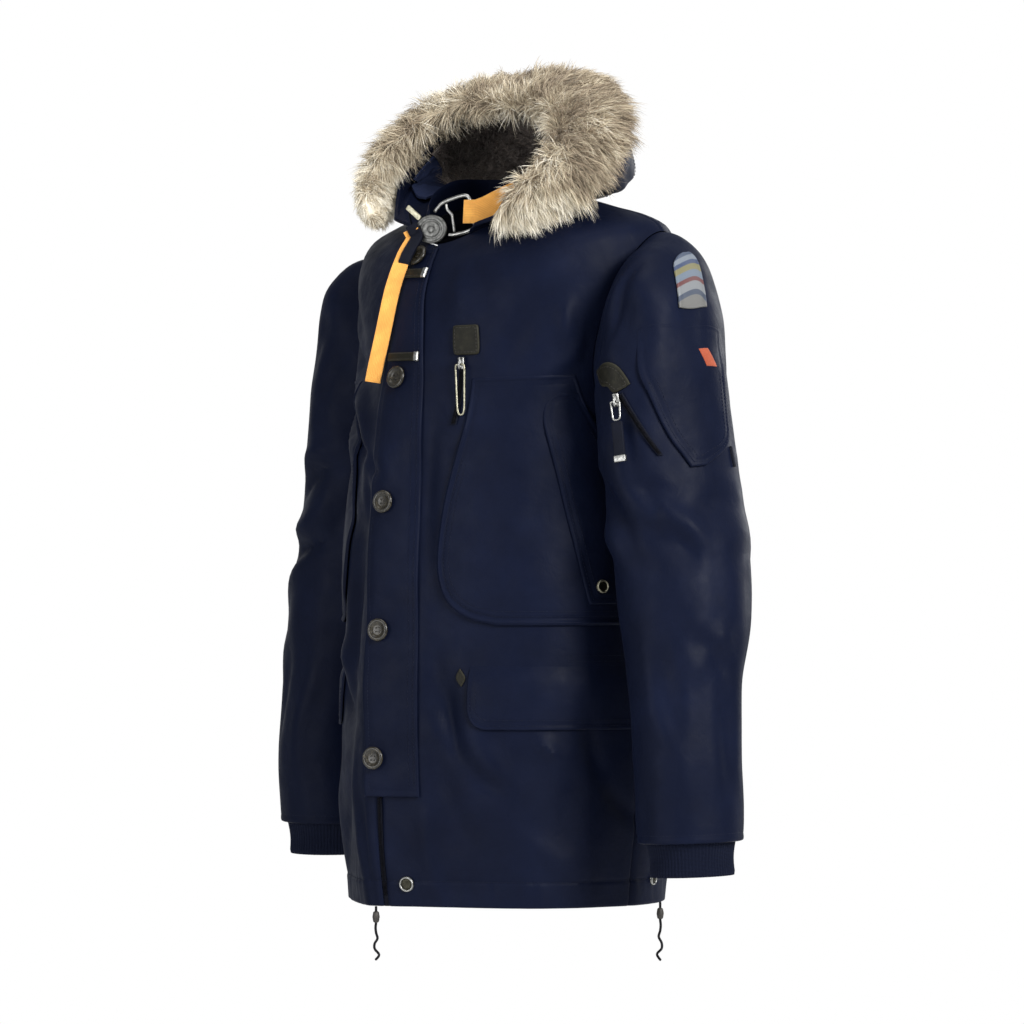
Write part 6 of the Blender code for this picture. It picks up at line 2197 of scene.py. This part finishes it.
class PARKA_OT_closure(bpy.types.Operator):
    """Makes the storm flap, its horn buttons and the two leather bars"""

    bl_idname = "parka.closure"
    bl_label = "Front Closure"

    def execute(self, context):
        flap = laid("wind_flap", "storm_flap", STORM_FLAP, shell(), "navy_shell", FLAP_OUT, FLAP_T,
                    (0.063, 0.595), 55, (0.0070,), lambda x, y: x < 0.0, across=26, along=190,
                    ridges=STORM_HEM, swell=flap_dimples, round_over=0.0018)
        for inset in DOUBLE_ROW:
            sew(flap.stitches(inset, lambda x, y: x > 0.01 and -0.612 < y < -0.040))
        self.buttons()
        self.bars()
        return {"FINISHED"}

    @staticmethod
    def buttons():
        profile = rounded_profile([(BUTTON_R * r, h) for r, h in BUTTON_ROWS])
        threads = []
        for number, (arc, z) in enumerate(BUTTONS, 1):
            lift = Matrix.Translation((0, 0, body_relief_at(arc, z)))
            place = frame_on_body(arc, z, ON_FLAP - BUTTON_SUNK) @ lift
            made = piece("horn_button_%d" % number, turned(profile, place, 56), horn(), "horn_button",
                         ["button_%d" % number], sharp=0)
            drill = bmesh.new()
            for x, y in itertools.product((-HOLE_ASIDE, HOLE_ASIDE), repeat=2):
                bmesh.ops.create_cone(drill, cap_ends=True, segments=16, radius1=HOLE_R, radius2=HOLE_R,
                                      depth=0.02, matrix=place @ Matrix.Translation((x, y, 0)))
            cutter = placed("drill", mesh_of("drill", outward(drill)))
            cutter.hide_render = True
            carved(made, [cutter], 50)
            bpy.data.objects.remove(cutter)
            for y in (-HOLE_ASIDE, HOLE_ASIDE):
                line = [place @ Vector((x, y, 0.0016 + 0.0012 * (1 - (x / 0.0026) ** 2)))
                        for x in np.linspace(-0.0024, 0.0024, 9)]
                threads.append(sweep(line, 0.00042, 8))
        piece("button_thread", merged(threads), dark_thread(), "horn_button", sharp=0)

    @staticmethod
    def bars():
        for name, z, start, end in BARS:
            neck = end - BAR_TIP
            rows = ((z + BAR_HALF, start, neck), (z - BAR_HALF, start, neck))
            bar = laid("leather_bar_" + name, "bar_" + name, rows, leather(), "leather", ON_FLAP, BAR_T,
                       sharp=55, across=26, along=14, round_over=0.0013, edge=0.2)
            for below in (0.0031, -0.0031):
                sew(stitch_places([bar.point(x, z + below, 0.0001)
                                   for x in np.linspace(start + 0.0016, neck - 0.001, 12)]), "trim")
            cap = Patch(((z + 0.0053, neck - 0.0004, end), (z - 0.0053, neck - 0.0004, end)), ON_FLAP, 0.0039,
                        across=12, along=14, round_over=0.0014, edge=0.2)
            piece("bar_end_" + name, cap.shape(), silver(), "steel")


class PARKA_OT_arm_pocket(bpy.types.Operator):
    """Makes the left arm's pocket, its tab and strap, the badge and the small label"""

    bl_idname = "parka.arm_pocket"
    bl_label = "Arm Pocket and Badge"

    def execute(self, context):
        laid("arm_flap", "sleeve_flap", SLEEVE_FLAP, shell(), "navy_shell", POUCH_LIFT, FLAP_T,
             (0.085, 0.188), 55, DOUBLE_ROW, lambda x, y: y > 0.73, across=48, along=54, ridges=HEMMED,
             swell=arm_flap_fullness, **ON_SLEEVE)
        laid("arm_strap", "flap_strap", FLAP_STRAP, tape(), "black_cord", SMALL_LIFT, 0.0022,
             across=8, along=12, round_over=0.0010, **ON_SLEEVE)
        laid("arm_leather_tab", "sleeve_tab", SLEEVE_TAB, leather(), "leather", LIFT, 0.0026, seams=(0.0028,),
             kind="trim", across=22, along=30, round_over=0.0012, **ON_SLEEVE)
        laid("arm_badge", "badge", BADGE, badge_weave(), "badge", 0.0012, 0.0016, sharp=0, across=40,
             along=64, ridges=MERROWED, round_over=0.0011, **ON_SLEEVE)
        laid("arm_label", "size_label", SIZE_LABEL, tag_weave(), "orange_tag",
             POUCH_LIFT + FLAP_T + 2 * SMALL_LIFT, 0.0010, sharp=0, across=10, along=26,
             round_over=0.0008, swell=arm_flap_fullness, **ON_SLEEVE)
        return {"FINISHED"}


# ---------------------------------------------------------------- zips, sliders and pulls
TAPE_T = 0.0018
TEETH_PITCH = 0.0016
SLIDER_R = 0.0011
PIN_PLACE = (0, -0.0018, 0.0044)  # of a pull's pin in its slider
RIBBON_DOWN = 0.0433
PULL_OUTLINE = ((-0.75, 0), (0.75, 0), (0.98, 0.05), (1, 0.15), (0.9, 0.5), (0.8, 0.85), (0.55, 0.97), (0, 1),
                (-0.55, 0.97), (-0.8, 0.85), (-0.9, 0.5), (-1, 0.15), (-0.98, 0.05))


def teeth_along(line, normals, name):
    """A row of small metal teeth along a line, which stand out along the normals."""
    places, due, gone = [], 0.0, 0.0
    for a, b, normal in zip(line, line[1:], normals):
        step = (b - a).length
        along = (b - a).normalized()
        side = along.cross(normal).normalized()
        while due < gone + step:
            turn = 1 if len(places) % 2 else -1
            place = a.lerp(b, (due - gone) / step) + side * turn * 0.0007
            places.append(matrix_of(place, side, along, side.cross(along)))
            due += TEETH_PITCH / 2
        gone += step
    repeated(name, tooth((0.0030, 0.0008, 0.0012)), places, gunmetal(), "steel")


def pull_ring(hinge, half_width, length):
    line = [hinge @ Vector((half_width * x, -length * y, 0)) for x, y in PULL_OUTLINE]
    return sweep(smooth_line(line, 72, ring=True), SLIDER_R, 12, ring=True)


def slider_body(place, half):
    """A zip slider: a domed body on the teeth with a bridge over it."""
    frame_of = place @ Matrix(((0, 0, 1, 0), (1, 0, 0, 0), (0, 1, 0, 0), (0, 0, 0, 1)))
    outline = [(-half, 0.0), (half, 0.0), (half, 0.0026), (half - 0.0030, 0.0026), (-half + 0.0018, 0.0026),
               (-half, 0.0026)]
    deck = solid_plate(outline, -0.0036, 0.0036, frame_of, bevel=0.0008)
    bridge = [frame_of @ Vector((x, y, 0)) for x, y in (
        (half - 0.0012, 0.0018), (half - 0.0016, 0.0050), (0.0, 0.0070), (-half + 0.0030, 0.0073),
        (-half + 0.0006, 0.0050), (-half + 0.0012, 0.0018))]
    return merged([deck, sweep(smooth_line(bridge, 26), SLIDER_R, 12)])


def pin_of(slider, lean):
    """Where a slider's pull hangs, leaning out this far."""
    return slider @ Matrix.Translation(PIN_PLACE) @ Matrix.Rotation(math.radians(lean), 4, "X")


class PARKA_OT_zips(bpy.types.Operator):
    """Makes the chest and arm zips with their sliders and swinging pulls"""

    bl_idname = "parka.zips"
    bl_label = "Zips and Pulls"

    def execute(self, context):
        for name, node, rows, kind in (("chest_zip", "chest_zip", CHEST_ZIP, {}),
                                       ("arm_zip", "sleeve_zip", SLEEVE_ZIP, ON_SLEEVE)):
            laid(name + "_tape", node, rows, tape(), "navy_rib", LIFT, TAPE_T, across=10, along=48,
                 round_over=0.0009, **kind)
            at = kind.get("at", on_body)
            marks = [smooth_rows(rows, v) for v in np.linspace(0.02, 0.98, 60)]
            line = [at((a + b) / 2, y, LIFT + 0.0024) for y, a, b in marks]
            ups = [(at((a + b) / 2, y, 0.01) - at((a + b) / 2, y, 0)).normalized() for y, a, b in marks]
            teeth_along(line, ups, name + "_teeth")
        laid("chest_leather_tab", "chest_tab", CHEST_TAB, leather(), "leather", LIFT, 0.0028, seams=(0.0028,),
             kind="trim", across=22, along=24, round_over=0.0013)
        chest = frame_on_body(*CHEST_SLIDER, LIFT + TAPE_T + 0.0004)
        piece("chest_zip_slider", slider_body(chest, 0.0065), silver(), "steel", ["chest_slider"])
        ring = pull_ring(pin_of(chest, 3), 0.0052, 0.054)
        piece("chest_zip_pull", ring, old_brass(), "old_brass", ["chest_pull"], "chest_pull", sharp=0)
        arm = frame_on_sleeve(*ARM_SLIDER, LIFT + TAPE_T + 0.0007)
        piece("arm_zip_slider", slider_body(arm, 0.0070), silver(), "steel", ["sleeve_slider"])
        hinge = pin_of(arm, -4)
        ring = pull_ring(hinge, 0.0052, 0.020)
        piece("arm_zip_pull", ring, silver(), "steel", ["sleeve_pull"], "sleeve_pull", sharp=0)
        ribbon = solid_plate(rounded_box(0.0064, 0.0215, 0.0020), 0, 0.0036,
                             hinge @ Matrix.Translation((0, -RIBBON_DOWN, -0.0018)), bevel=0.0012)
        mapped(ribbon, lambda co: (co.x + co.y, co.z))
        piece("arm_pull_ribbon", ribbon, tape(), "black_cord", ["sleeve_pull_tab"], "sleeve_pull")
        tip = solid_plate(rounded_box(0.0068, 0.0036, 0.0012), -0.0003, 0.0039,
                          hinge @ Matrix.Translation((0, -RIBBON_DOWN - 0.0181, -0.0018)), bevel=0.0007)
        piece("arm_pull_tip", tip, silver(), "steel", body="sleeve_pull")
        return {"FINISHED"}


# ---------------------------------------------------------------- neck hook, hanging strap and snaps
DISC_ROWS = (
    (0.0, 0.0034), (0.20, 0.0034), (0.24, 0.0029), (0.52, 0.0029), (0.56, 0.0034), (0.64, 0.0036),
    (0.70, 0.0031), (0.82, 0.0031), (0.88, 0.0037), (0.95, 0.0035), (1.0, 0.0024), (1.0, 0.0006),
    (0.97, 0.0), (0.0, 0.0),
)
WEBBING_START = ((0.0165, 0.0053), (0.0265, 0.0054), (0.0330, 0.0060))  # (aside, out), on the disc
HOOK_WIRES = (("hook_rail", "hook_frame", HOOK_RAIL, 0.0021), ("hook_latch", "hook_gate", HOOK_GATE, 0.0016))
SNAP_RING = (
    (0.70, 0.0014), (0.74, 0.0026), (0.80, 0.0032), (0.88, 0.0032), (0.95, 0.0024), (1.0, 0.0014), (1.0, 0.0),
    (0.70, 0.0), (0.70, 0.0014),
)
SNAP_BOSS = (
    (0.0, 0.0014), (0.20, 0.0015), (0.42, 0.0019), (0.56, 0.0018), (0.72, 0.0012), (0.72, 0.0002),
    (0.0, 0.0002),
)
SNAPS = (  # (name, arc, height, out, size, its ring's metal, slot)
    ("hem_snap", 0.0272, -0.7162, SMALL_LIFT, 1.0, silver, "steel"),
    ("vent_snap", 0.3300, -0.7135, SMALL_LIFT, 0.8, silver, "steel"),
    ("pocket_snap", 0.2400, -0.3963, POUCH_OUT + 2 * LIFT + FLAP_T, 0.85, old_brass, "old_brass"),
)


def band(line, across, half_width, thick, columns):
    """A flat strap along a line, with its width near the direction across."""
    count, lengths = len(line), lengths_along(line)

    def place(u, v, w):
        i = round(v * (count - 1))
        run = (line[min(i + 1, count - 1)] - line[max(i - 1, 0)]).normalized()
        side = (across - run * run.dot(across)).normalized()
        normal = side.cross(run)
        rim = min(min(u, 1 - u) * 2 * half_width, min(lengths[i], lengths[-1] - lengths[i]))
        return (line[i] + side * half_width * (2 * crowded(u) - 1)
                + normal * thick * (0.5 + (0.5 - w) * (0.25 + 0.75 * quarter_round(rim / (thick * 0.45)))))

    return wall(columns, count - 1, place, lambda u, v: (u * 2 * half_width, lengths[round(v * (count - 1))]))


class PARKA_OT_neck_hook(bpy.types.Operator):
    """Makes the sprung hook at the neck with its disc, webbing and loop"""

    bl_idname = "parka.neck_hook"
    bl_label = "Neck Hook"

    def execute(self, context):
        right, up = Vector((math.cos(HOOK_AZIMUTH), math.sin(HOOK_AZIMUTH), 0)), Vector((0, 0, 1))
        place = matrix_of(HOOK_PLACE, right, up, right.cross(up))
        disc = turned(rounded_profile([(DISC_R * r, h) for r, h in DISC_ROWS], 0.0003),
                      place @ Matrix.Translation(DISC_PLACE) @ Matrix.Scale(DISC_STRETCH, 4, (1, 0, 0)), 64)
        piece("hook_boss", disc, pewter(), "steel", ["hook_disc"], sharp=0)
        for name, node, points, radius in HOOK_WIRES:
            line = smooth_line([place @ Vector((x, y, 0)) for x, y in points], 60)
            piece(name, sweep(line, radius), silver(), "steel", [node], sharp=0)
        tongue = solid_plate(rounded_box(0.0105, 0.0030, 0.0015), 0, 0.0026,
                             place @ Matrix.Translation(TONGUE_PLACE) @ Matrix.Rotation(TONGUE_TURN, 4, "Z"),
                             bevel=0.0006)
        piece("hook_clasp", tongue, old_brass(), "old_brass", ["hook_tongue"])
        self.straps(place)
        return {"FINISHED"}

    @staticmethod
    def straps(place):
        lean = (stand_point(math.radians(44), 1, 0) - stand_point(math.radians(44), 0, 0)).normalized()
        line = [place @ Vector((x, 0.0035, z)) for x, z in WEBBING_START]
        line += [stand_point(math.radians(d), 0.80, -0.0022) for d in (36, 42, 49, 56)]
        piece("hook_strap", band(smooth_line(line, 45), lean, 0.0130, 0.0024, 16), webbing(), "webbing",
              ["hook_webbing"])
        start = place @ Vector((-0.0515, 0.0085, -0.0021))
        end = hood_point(-1, 0.20) + hood_normal(-1, 0.20) * 0.0027
        middle = (start + end) / 2 + Vector((0, -0.0008, -0.0012))
        loop = band(smooth_line([start, middle, end], 25), Vector((0, 0, 1)), 0.0024, 0.0014, 4)
        piece("neck_cord", loop, tape(), "black_cord", ["neck_loop"])


class PARKA_OT_hanging_strap(bpy.types.Operator):
    """Makes the bright hanging strap on the right front with its dark keeper"""

    bl_idname = "parka.hanging_strap"
    bl_label = "Hanging Strap"

    def execute(self, context):
        arcs, heights = zip(*HANG_STRAP)
        lie = [plain_on_body(through(heights, arcs, z), z, STRAP_OUT)
               for z in (heights[0] + (heights[-1] - heights[0]) * i / 12 for i in range(13))]
        line = smooth_line([STRAP_TOP, STRAP_TOP.lerp(lie[0], 0.5), *lie], 90)
        across = Vector((math.cos(STRAP_AZIMUTH), math.sin(STRAP_AZIMUTH), 0))
        strap = band(line, across, 0.0088, 0.0022, 10)
        piece("hanging_strap", strap, webbing(), "webbing", ["hang_strap"])
        # the keeper holds the strap's top and leaves a narrow stripe of it in sight
        away = Vector((across.y, -across.x, 0))
        keeper = [p + across * KEEPER_ASIDE + away * KEEPER_OUT for p in line if p.z > KEEPER_END_Z]
        keeper.insert(0, keeper[0] + (keeper[0] - keeper[1]).normalized() * 0.005)
        piece("strap_keeper", band(keeper, across, 0.0066, 0.0046, 10), tape(), "black_cord")
        return {"FINISHED"}


class PARKA_OT_snaps(bpy.types.Operator):
    """Makes the press snaps at the hem, the side vent and the hand flap"""

    bl_idname = "parka.snaps"
    bl_label = "Snaps"

    def execute(self, context):
        for name, arc, z, out, size, metal_of, slot in SNAPS:
            lift = body_relief_at(arc, z) + (pouch_fullness(arc, z) if name == "pocket_snap" else 0)
            place = frame_on_body(arc, z, out + lift)
            ring = [(SNAP_R * size * r, h) for r, h in SNAP_RING]
            piece(name + "_ring", turned(ring, place, 40), metal_of(), slot, [name], sharp=60)
            boss = [(SNAP_R * size * r, h) for r, h in SNAP_BOSS]
            piece(name + "_boss", turned(boss, place, 32), dark_bronze(), "old_brass", sharp=50)
        return {"FINISHED"}


class PARKA_OT_stitching(bpy.types.Operator):
    """Makes every topstitch that the other pieces asked for"""

    bl_idname = "parka.stitching"
    bl_label = "Stitching"

    def execute(self, context):
        repeated("topstitching", stitch_shape(), STITCHES["shell"], thread(), "navy_shell")
        repeated("trim_stitching", stitch_shape(), STITCHES["trim"], dark_thread(), "leather")
        return {"FINISHED"}


# ---------------------------------------------------------------- panel and registration
OPERATORS = (
    PARKA_OT_stage, PARKA_OT_hem_cords, PARKA_OT_body, PARKA_OT_sleeves, PARKA_OT_hood, PARKA_OT_ruff,
    PARKA_OT_pockets, PARKA_OT_closure, PARKA_OT_arm_pocket, PARKA_OT_zips, PARKA_OT_neck_hook,
    PARKA_OT_hanging_strap, PARKA_OT_snaps, PARKA_OT_stitching,
)
SETTINGS = (("parka_cloth", ClothSettings), ("parka_fur", FurSettings), ("parka_trim", TrimSettings),
            ("parka_stage", StageSettings))


class PARKA_PT_panel(bpy.types.Panel):
    """Lists the coat's settings and its making steps"""

    bl_label = "Parka"
    bl_idname = "PARKA_PT_panel"
    bl_space_type = "VIEW_3D"
    bl_region_type = "UI"
    bl_category = "Parka"

    def draw(self, context):
        for name, kind in SETTINGS:
            box = self.layout.box()
            for setting in kind.__annotations__:
                box.prop(getattr(context.scene, name), setting)
        for operator in OPERATORS:
            self.layout.operator(operator.bl_idname)


def register():
    for name, kind in SETTINGS:
        bpy.utils.register_class(kind)
        setattr(bpy.types.Scene, name, PointerProperty(type=kind))
    for kind in (*OPERATORS, PARKA_PT_panel):
        bpy.utils.register_class(kind)


def unregister():
    for kind in (PARKA_PT_panel, *reversed(OPERATORS)):
        bpy.utils.unregister_class(kind)
    for name, kind in reversed(SETTINGS):
        delattr(bpy.types.Scene, name)
        bpy.utils.unregister_class(kind)


def main():
    register()
    for operator in OPERATORS:
        group, name = operator.bl_idname.split(".")
        getattr(getattr(bpy.ops, group), name)()


if __name__ == "__main__":
    main()
